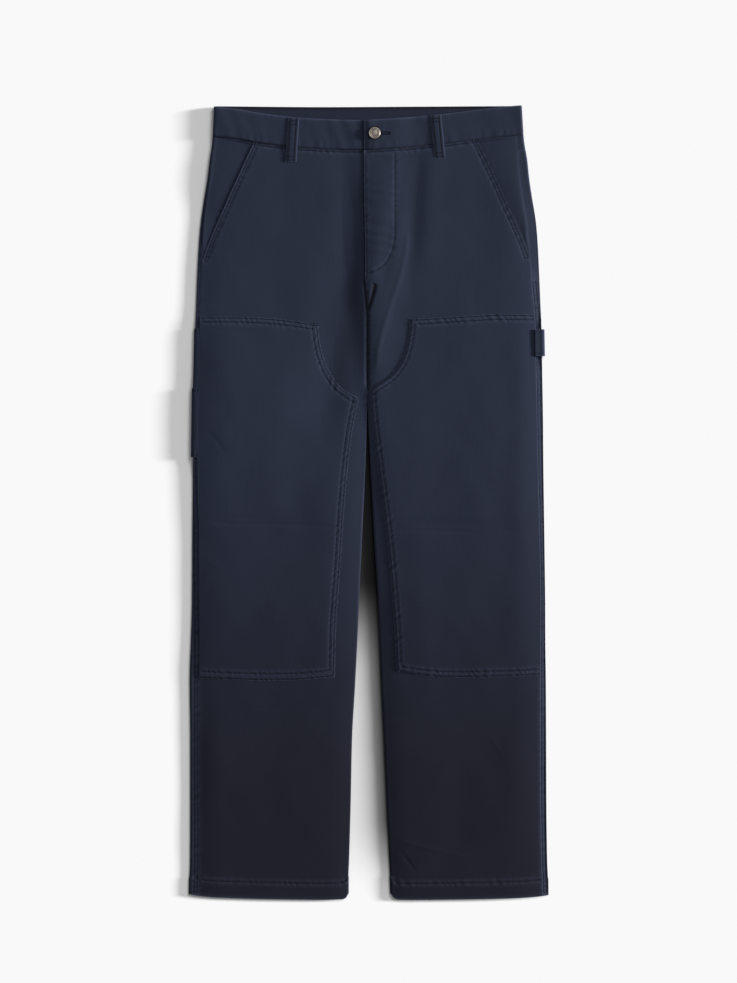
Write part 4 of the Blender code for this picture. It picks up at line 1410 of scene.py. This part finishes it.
def back_panel(side, word):
    rows = [
        (hem, hem_top, even(HEM_DEPTH, 1.7, False)),
        (hem_top, lambda x: yoke_seam(x) - SEAM / 2.0, even(BACK_LENGTH, 2.6)),
    ]
    x, y, upper = back_plan(rows, back_columns(side, 1.4, 4.0))
    relief = back_relief(side, x, y, upper)
    swell = np.where(upper, hem_swell(x, y), 0.0)
    outside = cloth_point(side, x, y, upper, swell, relief)
    inside = cloth_point(side, x, y, upper, -CLOTH, np.where(upper, relief, 0.0))
    wear_highlight_and_shade = seam_share(BASE_ROWS, x, y) * upper + 0.8 * seam_share(UNDER_ROWS[side], x, y) * ~upper
    wear_highlight_and_shade = stronger(wear_highlight_and_shade, upper * worn("side seam", np.abs(x - outseam(side, y))))
    # The back's outer strip below the hips is paler: worn cloth on both legs, with painted highlight making
    # the +X side, which faces the lights, paler still.
    wear_highlight_and_shade = wear_highlight_and_shade + upper * BACK_WEAR_AND_HIGHLIGHT[side] * smoothstep((BACK_WEAR_AND_HIGHLIGHT_Y - y) / 60.0)
    wear_highlight_and_shade = stronger(wear_highlight_and_shade, worn("hem", y - hem(x)))
    return cloth_shell(f"back_{word}", f"back_panel_{word}", outside, inside, wear_highlight_and_shade, side < 0)


def back_yoke(side, word):
    def low(x):
        return yoke_seam(x) + SEAM / 2.0

    columns = back_columns(side, 1.4, 4.0)
    flags = np.concatenate([np.full(len(shares), flag) for _, _, shares, flag in columns])

    def high(x):
        front = waist_seam(x)
        back = curve(BACK_WAIST_SEAM, x)
        return np.where(np.broadcast_to(flags, x.shape), front, back) - SEAM / 2.0

    x, y, upper = back_plan([(low, high, even(45.0, 2.6))], columns)
    relief = back_relief(side, x, y, upper)
    outside = cloth_point(side, x, y, upper, 0.0, relief)
    inside = cloth_point(side, x, y, upper, -CLOTH, np.where(upper, relief, 0.0))
    wear_highlight_and_shade = np.maximum(seam_share(BASE_ROWS, x, y) * upper, worn("yoke seam", y - low(x)))
    return cloth_shell(f"yoke_{word}", f"back_yoke_{word}", outside, inside, wear_highlight_and_shade, side < 0)


def wrapped_columns(side, under_shares):
    """The back's columns from the side seam round the outer fold, then on to shares of its width."""
    columns = []
    for first, last, shares, upper in back_columns(side, 1.4, 3.0, 10.0):
        if len(shares) > 40:
            columns.append((first, last, under_shares, upper))
            break
        columns.append((first, last, shares, upper))
    return columns


def wrapped_plan(side, y_range, step, under_shares):
    low, high = y_range
    rows = [(level(low), level(high), even(high - low, step))]
    x, y, upper = back_plan(rows, wrapped_columns(side, under_shares))
    return x, y, upper, np.minimum(y - low, high - y)


def groove_at(edge, inset, depth, width=1.1):
    return -depth * bell(edge - inset, width)


def sewn_under(name, y_range, out, inn):
    """A pocket layer sewn round the right leg's outer fold, between two heights off the leg."""
    share = BACK_SHARES[name]
    x, y, upper, edge = wrapped_plan(-1, y_range, 1.6, share * even(BACK_WIDTH * share, 3.0))
    folds = np.where(upper, base_relief(x, y), 0.0)
    around = np.cumsum(np.hypot(np.diff(x, axis=1, prepend=x[:, :1]), 0.6), axis=1)
    pull = 0.22 * ripple(around, 8.0, 0.4) * fade(edge, 5.0)
    grooves = groove_at(edge, 2.2, 0.25) + groove_at(edge, 7.0, 0.25)
    outside = cloth_point(-1, x, y, upper, out, folds + pull + grooves)
    inside = cloth_point(-1, x, y, upper, inn, folds)
    # Worn, paler cloth at the edges, and painted shade along a stitched groove.
    wear_highlight_and_shade = worn("tool pocket", edge) + groove_at(edge, 2.6, 0.8, 1.3)
    return cloth_shell(name, name, outside, inside, wear_highlight_and_shade, True)


def hammer_loop():
    """A strap sewn round the left leg's outer fold, slack where it turns."""
    shares = BACK_SHARES["hammer_loop"] * even(73.0, 2.5)
    x, y, upper, edge = wrapped_plan(1, HAMMER_LOOP_Y, 1.3, shares)
    cos_out = np.clip(1.0 - np.abs(outer_edge(1, y) - x) / FOLD_REACH, 0.0, 1.0)
    grooves = groove_at(edge, 2.4, 0.2) + groove_at(edge, 8.0, 0.2)
    away = SEAM_GAP + HAMMER_LOOP_SLACK * cos_out**2
    outside = cloth_point(1, x, y, upper, away + POCKET_WALL, grooves)
    inside = cloth_point(1, x, y, upper, away)
    # Worn, paler cloth at the edges, painted shade along a stitched groove, and a paler tone overall.
    wear_highlight_and_shade = worn("hammer loop", edge) + groove_at(edge, 2.8, 0.6, 1.1) + 0.15
    return cloth_shell("hammer_loop", "hammer_loop", outside, inside, wear_highlight_and_shade)


# Waistband


def band_stations(step):
    """Columns round the band as (side, x for a y, upper, raised), from its end under the lap."""
    stations = []

    def start(y):
        return inner_edge(1, y)

    def flat_end(side, y):
        return band_edge(side, y) - side * BAND_FOLD_REACH

    def run(side, upper, raised, first, last, length, with_end=False):
        for share in even(length, step, with_end):
            height = raised(share) if callable(raised) else raised
            stations.append((side, lambda y, t=share: mix(first(y), last(y), t), upper, height))

    def fold(side, angles):
        for angle, upper in angles:
            stations.append(
                (side, lambda y, a=angle: band_edge(side, y) - side * arc(BAND_FOLD_REACH, a), upper, 0.0)
            )

    angles = np.arange(90.0, -1.0, -15.0)
    over = [(a, True) for a in angles] + [(a, False) for a in angles[-2::-1]]
    lap_end = FLY_LAP + 36.0
    run(1, True, 0.0, lambda y: start(y) + FLY_LAP, start, FLY_LAP)
    run(-1, True, 0.0, start, lambda y: flat_end(-1, y), 200.0)
    fold(-1, over)
    run(-1, False, 0.0, lambda y: flat_end(-1, y), level(0.0), 205.0)
    run(1, False, 0.0, level(0.0), lambda y: flat_end(1, y), 205.0)
    fold(1, over[::-1])
    run(1, True, 0.0, lambda y: flat_end(1, y), lambda y: start(y) + lap_end, 138.0)
    run(
        1,
        True,
        lambda t: BAND_RAISE * smoothstep(t),
        lambda y: start(y) + lap_end,
        lambda y: start(y) + FLY_LAP + 2.0,
        lap_end - FLY_LAP,
    )
    run(
        1,
        True,
        lambda t: BAND_RAISE * (1.0 - 0.55 * smoothstep(1.0 - (1.0 - t) * FLY_LAP / 8.0)),
        lambda y: start(y) + FLY_LAP + 2.0,
        start,
        FLY_LAP,
        True,
    )
    return stations


def band_row(side, column, upper, shares):
    """Where a column of the band lies at shares of the band's height."""
    y = np.full(len(shares), BAND_MIDDLE_Y)
    for _ in range(6):
        x = column(y)
        cos_out = np.clip(1.0 - np.abs(band_edge(side, y) - x) / BAND_FOLD_REACH, 0.0, 1.0)
        turn = np.sqrt(1.0 - cos_out**2)
        front = 0.5 + 0.5 * np.where(upper, turn, -turn)
        back_low, back_high = curve(BACK_WAIST_SEAM, x) + SEAM / 2.0, curve(BACK_TOP, x)
        front_low = waist_seam(x) + SEAM / 2.0
        low, high = mix(back_low, front_low, front), mix(back_high, front_low + BAND_HEIGHT, front)
        y = mix(low, high, shares)
    return column(y), y


def band_relief(x, height_up, seed=0.0):
    """Puckers along the band's two long rows, and a broad wave; height_up runs from its lower edge."""
    total = np.zeros(np.shape(x))
    for height, length, lean, start, middle, half_width in BAND_WAVES:
        waves = ripple(x + lean * height_up, length, start + seed)
        total = total + height * waves * bell(height_up - middle, half_width)
    return total


def waistband():
    stations = band_stations(2.2)
    on_top = np.array([upper for _, _, upper, _ in stations])[None, :]
    shares = even(BAND_HEIGHT, 1.4)
    height_up = shares * BAND_HEIGHT
    outside, inside, wear_highlight_and_shade = [], [], []
    for side, column, upper, raised in stations:
        x, y = band_row(side, column, upper, shares)
        relief = band_relief(x, height_up, 0.0 if upper else 1.5)
        edges = np.minimum(height_up, BAND_HEIGHT - height_up)
        relief = relief - 0.4 * fade(edges, 0.9)
        outside.append(band_point(side, x, y, upper, 0.0, relief, raised))
        inside.append(band_point(side, x, y, upper, -BAND_WALL, 0.0, raised))
        # Worn, paler cloth at the band's top, and painted shade along its foot.
        rub_and_painted_light = worn("band top", BAND_HEIGHT - height_up) + worn("band foot", height_up)
        wear_highlight_and_shade.append(rub_and_painted_light + 0.22 * ripple(x, 11.5, 0.9) * fade(height_up, 12.0))
    outside = np.array(outside).transpose(1, 0, 2)
    inside = np.array(inside).transpose(1, 0, 2)
    under_lap = np.arange(outside.shape[1])[None, :] < LAP_COLUMNS
    lap = np.abs(outside[:, -1:, 0] - outside[:, :, 0]) + LAP_AWAY * under_lap
    wear_highlight_and_shade = stronger(np.array(wear_highlight_and_shade).T, worn("band lap", lap))
    from_button = np.hypot(outside[:, :, 0] - BUTTON_X, outside[:, :, 1] - BUTTON_Y)
    # A painted shadow ring round the button.
    wear_highlight_and_shade = wear_highlight_and_shade - BUTTON_SHADE * on_top * bell(from_button - BUTTON_SHADE_RADIUS, BUTTON_SHADE_WIDTH)
    # A painted shadow beside the lapped end.
    lap_shadow = under_lap * on_top * worn("beside the lap", np.abs(lap - LAP_AWAY))
    top_line = bell((BAND_HEIGHT - height_up)[:, None], 3.0) * ~on_top
    wear_highlight_and_shade = wear_highlight_and_shade * np.where(on_top, 1.0, BACK_BAND_WEAR) + lap_shadow
    wear_highlight_and_shade = wear_highlight_and_shade - BACK_BAND_LINE * top_line - BACK_BAND_SHADE * ~on_top
    return band_mesh(outside, inside, wear_highlight_and_shade)


def band_mesh(outside, inside, wear_highlight_and_shade):
    """The band keeps its inner face, which shows behind the front's top edge."""
    rows, columns = outside.shape[:2]
    quads = grid_quads(rows, columns)
    under = quads[:, ::-1] + rows * columns
    loop = edge_loop(rows, columns)
    rim = rim_quads(loop, loop + rows * columns)
    points = np.concatenate([outside.reshape(-1, 3), inside.reshape(-1, 3)])
    faces = np.concatenate([quads, under, rim])[:, ::-1]
    both = np.concatenate([wear_highlight_and_shade.ravel(), wear_highlight_and_shade.ravel()])
    made = add_mesh("waistband_cloth", points, faces, CANVAS, {"wear_highlight_and_shade": both}, CLOTH_ANGLE)
    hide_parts("waistband")
    return made


def band_height_of(x, height_up):
    """A point on the front of the band, a height above its lower edge."""
    y = waist_seam(x) + SEAM / 2.0 + height_up
    side = np.where(x < inner_edge(1, y), -1, 1)
    from_start = x - inner_edge(1, y) - FLY_LAP - 2.0
    raised = np.where(side > 0, BAND_RAISE * (1.0 - smoothstep(from_start / 34.0)), 0.0)
    relief = band_relief(x, height_up)
    left = band_point(-1, x, y, True, 0.0, relief, raised)
    right = band_point(1, x, y, True, 0.0, relief, raised)
    return np.where((side < 0)[..., None], left, right)


# Belt loops


def front_loop(name, top_x, bottom_x, bottom_y):
    seam_y = float(waist_seam(np.array(top_x)))
    top_y = seam_y + BAND_HEIGHT - 0.4
    side = -1 if top_x < 0 else 1
    ys = np.linspace(bottom_y, top_y, 40)
    shares = np.linspace(-0.5, 0.5, 13)
    centre = mix(bottom_x, top_x, (ys - bottom_y) / (top_y - bottom_y))[:, None]
    x = centre + shares[None, :] * LOOP_WIDTH
    y = np.broadcast_to(ys[:, None], x.shape)
    on_band = band_point(side, x, y, True)[..., 2]
    on_front = cloth_point(side, x, y, True)[..., 2]
    low = mix(on_front, on_band, smoothstep((y - seam_y + 7.0) / 7.0))
    low = np.maximum(low, np.where(y > seam_y - 1.0, on_band, on_front))
    across = np.abs(shares)[None, :] * LOOP_WIDTH
    crown = 0.25 * np.sin(math.pi * np.clip((y - bottom_y - 4.0) / (top_y - bottom_y - 8.0), 0.0, 1.0))
    groove = -0.28 * bell(across - LOOP_ROW, LOOP_ROW_WIDTH)
    edge = np.minimum(LOOP_WIDTH / 2.0 - across, np.minimum(y - bottom_y, top_y - y))
    rounding = -0.55 * fade(np.maximum(edge, 0.0), 0.9)
    waves = 0.12 * ripple(y, 7.0, top_x)
    z = low + LOOP_RISE + crown + groove + rounding + waves
    outside = np.stack([x, y, z], -1)
    inside = np.stack([x, y, low], -1)
    # Worn, paler cloth at the loop's edges, and painted shade along its two stitched grooves.
    wear_highlight_and_shade = worn("front loop", np.maximum(edge, 0.0)) - 1.6 * bell(across - LOOP_ROW + 0.4, LOOP_ROW_WIDTH)
    made = cloth_shell(name, name, outside, inside, wear_highlight_and_shade)
    rows = []
    for inset in (-LOOP_ROW, LOOP_ROW):
        line = np.stack([centre[:, 0] + inset, ys], -1)
        rows.append((line[2:-2], z[2:-2, 2 if inset < 0 else -3] + 0.02))
    bars = []
    for at in (2, 5, -4, -7):
        bars.append((np.stack([x[at, 1:-1], y[at, 1:-1]], -1), z[at, 1:-1] + 0.15))
    return made, rows, bars


def back_loop(name, centre):
    ys = np.linspace(BACK_LOOP_Y[0], BACK_LOOP_Y[1], 36)
    xs = centre + np.linspace(-0.5, 0.5, 11) * LOOP_WIDTH
    x, y = np.meshgrid(xs, ys)
    across = np.abs(x - centre)
    edge = np.minimum(LOOP_WIDTH / 2.0 - across, np.minimum(y - BACK_LOOP_Y[0], BACK_LOOP_Y[1] - y))
    inward = 0.3 * fade(np.maximum(edge, 0.0), 0.8) + 0.2 * bell(across - LOOP_ROW, LOOP_ROW_WIDTH)
    outside = np.stack([x, y, inward], -1)
    inside = np.stack([x, y, np.full_like(x, POCKET_WALL)], -1)
    wear_highlight_and_shade = worn("back loop", np.maximum(edge, 0.0))
    return cloth_shell(name, name, outside, inside, wear_highlight_and_shade, True)


# Stitches


def stitch_prototype():
    """One stitch along +X, between 0 and 1, as rings of four points, sunk at both ends."""
    stations = [
        # along, half width, height
        (0.03, 0.10, -0.45),
        (0.20, 0.85, 0.15),
        (0.50, 1.00, 0.45),
        (0.80, 0.85, 0.15),
        (0.97, 0.10, -0.45),
    ]
    points, quads = [], []
    for along, width, height in stations:
        points += [
            (along, -width, height),
            (along, 0.0, height + 0.8 * width),
            (along, width, height),
            (along, 0.0, height - 0.5),
        ]
    for ring in range(len(stations) - 1):
        for k in range(4):
            a, b = ring * 4 + k, ring * 4 + (k + 1) % 4
            quads.append((a, b, b + 4, a + 4))
    return np.array(points, float), np.array(quads)


PROTOTYPE, PROTOTYPE_QUADS = stitch_prototype()


def stitch_run(points, pitch, share=0.9, half=THREAD_HALF, under=False):
    """Stitches along a line of 3-D points, as point and quad arrays."""
    points = np.asarray(points, float)
    lengths = lengths_along(points)
    count = max(1, int(lengths[-1] / pitch))
    starts = np.arange(count) * lengths[-1] / count

    def at(distance):
        return np.stack([np.interp(distance, lengths, points[:, k]) for k in range(3)], -1)

    head, tail = at(starts), at(starts + pitch * share)
    run = tail - head
    size = np.linalg.norm(run, axis=1)[:, None]
    forward = run / size
    up = np.array([0.0, 0.0, -1.0 if under else 1.0])
    aside = np.cross(up, forward)
    aside /= np.linalg.norm(aside, axis=1)[:, None]
    lifted = np.cross(forward, aside)
    shape = PROTOTYPE[None]
    placed = (
        head[:, None]
        + forward[:, None] * size[:, None] * shape[..., :1]
        + aside[:, None] * shape[..., 1:2] * half
        + lifted[:, None] * shape[..., 2:] * half
    )
    quads = PROTOTYPE_QUADS[None] + (np.arange(count) * len(PROTOTYPE))[:, None, None]
    return placed.reshape(-1, 3), quads.reshape(-1, 4)


def thread_mesh(name, runs):
    points, quads, count = [], [], 0
    for run_points, run_quads in runs:
        points.append(run_points)
        quads.append(run_quads + count)
        count += len(run_points)
    return add_mesh(name, np.concatenate(points), np.concatenate(quads), THREADS, None, 180.0)


def dense(path, step=1.5):
    path = np.asarray(path, float)
    lengths = lengths_along(path)
    at = np.linspace(0.0, lengths[-1], max(2, int(lengths[-1] / step)))
    return np.stack([np.interp(at, lengths, path[:, k]) for k in (0, 1)], -1)


def side_of(x, y):
    return -1 if float(np.mean(x - inner_edge(1, y))) < 0.0 else 1


def stitches(rows, surface, pitch=STITCH_PITCH, under=False):
    """Stitches along rows, on the points that surface(side, x, y) gives."""
    runs = []
    for row in rows:
        x, y = dense(row.path).T
        points = surface(side_of(x, y), x, y)
        runs.append(stitch_run(points, pitch, under=under))
    return runs


def front_surface(side, x, y):
    return cloth_point(side, x, y, True, hem_swell(x, y) + 0.05, base_surface_relief(x, y))


def patch_surface(side, x, y):
    return cloth_point(side, x, y, True, PATCH_RISE, patch_relief(side, x, y))


def under_surface(side, x, y):
    return cloth_point(side, x, y, False, -0.30, 0.5 * rows_relief(UNDER_ROWS[side], x, y))


def buttonhole():
    """A worked buttonhole: close stitches round a slit in the lapped end of the band."""
    left, right = BUTTONHOLE_X
    inward, outward, rise = 0.85, 1.0, 0.1
    outline = [(mix(left, right, share), 0.5 * math.pi) for share in np.linspace(0.0, 1.0, 26)]
    outline += [(right, math.pi * (0.5 - share)) for share in np.linspace(0.0, 1.0, 9)[1:-1]]
    outline += [(mix(left, right, share), -0.5 * math.pi) for share in np.linspace(1.0, 0.0, 26)]
    runs = []
    for centre_x, angle in outline:
        reach = BUTTONHOLE_HALF + np.array([-inward, outward])
        x = centre_x + reach * math.cos(angle)
        y = BUTTON_Y + reach * math.sin(angle)
        height = y - waist_seam(x) - SEAM / 2.0
        runs.append(stitch_run(band_height_of(x, height) + [0.0, 0.0, rise], *BUTTONHOLE_STITCH))
    return runs


# Button


def waist_button():
    """A shank button: rolled rim, a beaded ring and a plain domed middle."""
    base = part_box("waist_button")[0].z / MM - 0.5
    profile = [
        # radius as a share of the button's, height, how hollow
        (0.50, 0.0, 0.6),
        (0.58, 0.7, 0.8),
        (0.90, 0.95, 0.7),
        (0.97, 1.15, 0.2),
        (1.00, 1.55, 0.0),
        (0.985, 1.95, 0.0),
        (0.95, 2.22, 0.0),
        (0.90, 2.32, 0.0),
        (0.85, 2.26, 0.1),
        (0.81, 2.02, 0.7),
        (0.775, 1.86, 1.0),
        (0.74, 1.90, 0.8),
        (0.70, 2.10, 0.1),
        (0.66, 2.18, 0.0),
        (0.62, 2.10, 0.1),
        (0.58, 1.90, 0.8),
        (0.545, 1.84, 1.0),
        (0.51, 1.92, 0.6),
        (0.44, 2.12, 0.1),
        (0.32, 2.26, 0.0),
        (0.16, 2.34, 0.0),
        (0.02, 2.36, 0.0),
    ]
    count = 96
    angles = np.arange(count) * 2.0 * math.pi / count
    points, hollow = [], []
    for share, height, deep in profile:
        knurl = 0.05 * np.cos(24.0 * angles) if 0.6 < share < 0.75 else 0.0 * angles
        radius = share * BUTTON_RADIUS
        x = BUTTON_X + radius * np.cos(angles)
        y = BUTTON_Y + radius * np.sin(angles)
        points.append(np.stack([x, y, base + 0.72 * height + knurl], -1))
        hollow.append(np.full(count, deep))
    index = np.arange(len(profile) * count).reshape(len(profile), count)
    around = np.roll(index, -1, axis=1)
    quads = np.stack([index[:-1], around[:-1], around[1:], index[1:]], -1).reshape(-1, 4)
    shares = {"hollow": np.concatenate(hollow)}
    made = add_mesh("waist_button_metal", np.concatenate(points), quads, METALS, shares, 60.0)
    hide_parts("waist_button")
    return made


# Scene


def floor_with_painted_shadow(floor):
    """White, with a painted shadow that darkens it between the legs towards the crotch and towards the left
    leg's inner edge.
    """
    x, y = floor.along()
    edge = floor.maths("MULTIPLY_ADD", y, LEG_EDGE_LEAN, LEG_EDGE_X)
    away = floor.maths("MAXIMUM", floor.maths("SUBTRACT", edge, x), 0.0)
    near_leg = floor.maths("POWER", math.e, floor.maths("MULTIPLY", away, -1.0 / LEG_SHADE_REACH))
    below_crotch = floor.maths("LESS_THAN", y, GAP_TOP_Y)
    left_of_leg = floor.maths("LESS_THAN", x, floor.maths("ADD", edge, LEG_COVER))
    shaded = floor.maths("MULTIPLY", below_crotch, left_of_leg)
    beside = floor.maths("MULTIPLY", near_leg, shaded)
    beside = floor.maths("MULTIPLY", beside, floor.ramp(y, LEG_SHADE_Y))
    lighter = floor.maths("MULTIPLY_ADD", beside, -LEG_SHADE, 1.0)
    inside = floor.maths("LESS_THAN", floor.maths("ABSOLUTE", x), GAP_HALF_WIDTH)
    between = floor.maths("MULTIPLY", inside, below_crotch)
    gap_shadow = floor.maths("MULTIPLY", between, floor.ramp(y, GAP_SHADE_Y))
    open_share = floor.maths("MULTIPLY_ADD", gap_shadow, -GAP_SHADE, 1.0)
    share = floor.maths("MULTIPLY", lighter, open_share)
    return floor.between(share, FLOOR_SHADE, FLOOR_WHITE)


def add_floor():
    mesh = bpy.data.meshes.new("floor")
    half = FLOOR_HALF
    corners = [(-half, -half, 0.0), (half, -half, 0.0), (half, half, 0.0), (-half, half, 0.0)]
    mesh.from_pydata(corners, [], [(0, 1, 2, 3)])
    material = Material("white_floor", FLOOR_SURFACE)
    material.fill(material.shader, {"Base Color": floor_with_painted_shadow(material)})
    mesh.materials.append(material.made)
    floor = bpy.data.objects.new("floor", mesh)
    bpy.context.scene.collection.objects.link(floor)


def add_light():
    """A low light from the right, a higher and softer one from the upper right, and dim surroundings."""
    world = bpy.data.worlds.new("studio")
    bpy.context.scene.world = world
    world.use_nodes = True
    sky = world.node_tree.nodes["Background"]
    sky.inputs["Color"].default_value = (1.0, 1.0, 1.0, 1.0)
    sky.inputs["Strength"].default_value = SKY
    for name, turn, rise, width, strength in LIGHTS:
        light = bpy.data.lights.new(name, "SUN")
        light.angle = math.radians(width)
        light.energy = strength
        turn, rise = math.radians(turn), math.radians(rise)
        level = math.cos(rise)
        to_light = Vector((math.cos(turn) * level, math.sin(turn) * level, math.sin(rise)))
        made = bpy.data.objects.new(name, light)
        made.location = to_light * LIGHT_AWAY
        made.rotation_euler = (-to_light).to_track_quat("-Z", "Y").to_euler()
        bpy.context.scene.collection.objects.link(made)


def set_view():
    """Whites clip just below the top, as in the photograph."""
    view = bpy.context.scene.view_settings
    view.view_transform = "Standard"
    view.use_curve_mapping = True
    mapping = view.curve_mapping
    mapping.extend = "HORIZONTAL"
    line = mapping.curves[3]
    line.points[1].location = (WHITE_LEVEL, WHITE_LEVEL)
    for point in line.points:
        point.handle_type = "VECTOR"
    mapping.update()


def add_camera():
    """Straight above, so that the photograph's height takes in about 1.35 mm a pixel."""
    camera = bpy.data.cameras.new("camera")
    made = bpy.data.objects.new("camera", camera)
    made.location = (CAMERA_X, CAMERA_Y, CAMERA_HEIGHT)
    camera.sensor_fit = "VERTICAL"
    camera.sensor_height = SENSOR
    camera.lens = SENSOR * (CAMERA_HEIGHT - CLOTH_TOP) / (PHOTO_HEIGHT * PIXEL * MM)
    camera.clip_end = CAMERA_FAR
    bpy.context.scene.collection.objects.link(made)
    bpy.context.scene.camera = made


def dress(piece, with_pieces=()):
    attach(piece, "root")
    for thread in with_pieces:
        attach(thread, "root")


def main():
    add_camera()
    add_light()
    add_floor()
    for side in (-1, 1):
        word = "right" if side < 0 else "left"
        front = front_panel(side, word)
        back = back_panel(side, word)
        patch = knee_patch(side, word)
        facing = pocket_facing(side, word)
        yoke = back_yoke(side, word)
        rows = [row for row in BASE_ROWS if side_of(*row.path.T) == side]
        thread = thread_mesh(f"front_{word}_thread", stitches(rows, front_surface))
        patch_runs = stitches(PATCH_ROWS[side], patch_surface)
        patch_thread = thread_mesh(f"knee_{word}_thread", patch_runs)
        under_runs = stitches(UNDER_ROWS[side], under_surface, UNDER_PITCH, True)
        under_thread = thread_mesh(f"back_{word}_thread", under_runs)
        dress(back, [under_thread])
        dress(front, [thread])
        dress(patch, [patch_thread])
        dress(facing)
        dress(yoke)
    shield = fly_shield()
    dress(shield)
    tall = sewn_under("tool_pocket", TOOL_POCKET_Y, LAYER_UNDER, SEAM_GAP)
    short_y = (TOOL_POCKET_Y[0], SHORT_POCKET_TOP_Y)
    short = sewn_under("tool_pocket_short", short_y, 2 * LAYER_UNDER, LAYER_UNDER + SEAM_GAP)
    dress(tall)
    dress(short)
    hammer = hammer_loop()
    dress(hammer)
    band = waistband()
    band_thread = thread_mesh("waistband_thread", buttonhole())
    dress(band, [band_thread])
    for name, (top_x, bottom_x, bottom_y) in FRONT_LOOPS.items():
        loop, lines, bars = front_loop(name, top_x, bottom_x, bottom_y)
        runs = [stitch_run(np.column_stack([line, z]), LOOP_PITCH) for line, z in lines]
        runs += [stitch_run(np.column_stack([line, z]), *BAR_STITCH) for line, z in bars]
        thread = thread_mesh(f"{name}_thread", runs)
        dress(loop, [thread])
    for name, centre in BACK_LOOPS.items():
        loop = back_loop(name, centre)
        dress(loop)
    button = waist_button()
    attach(button, "root")


main()
set_view()
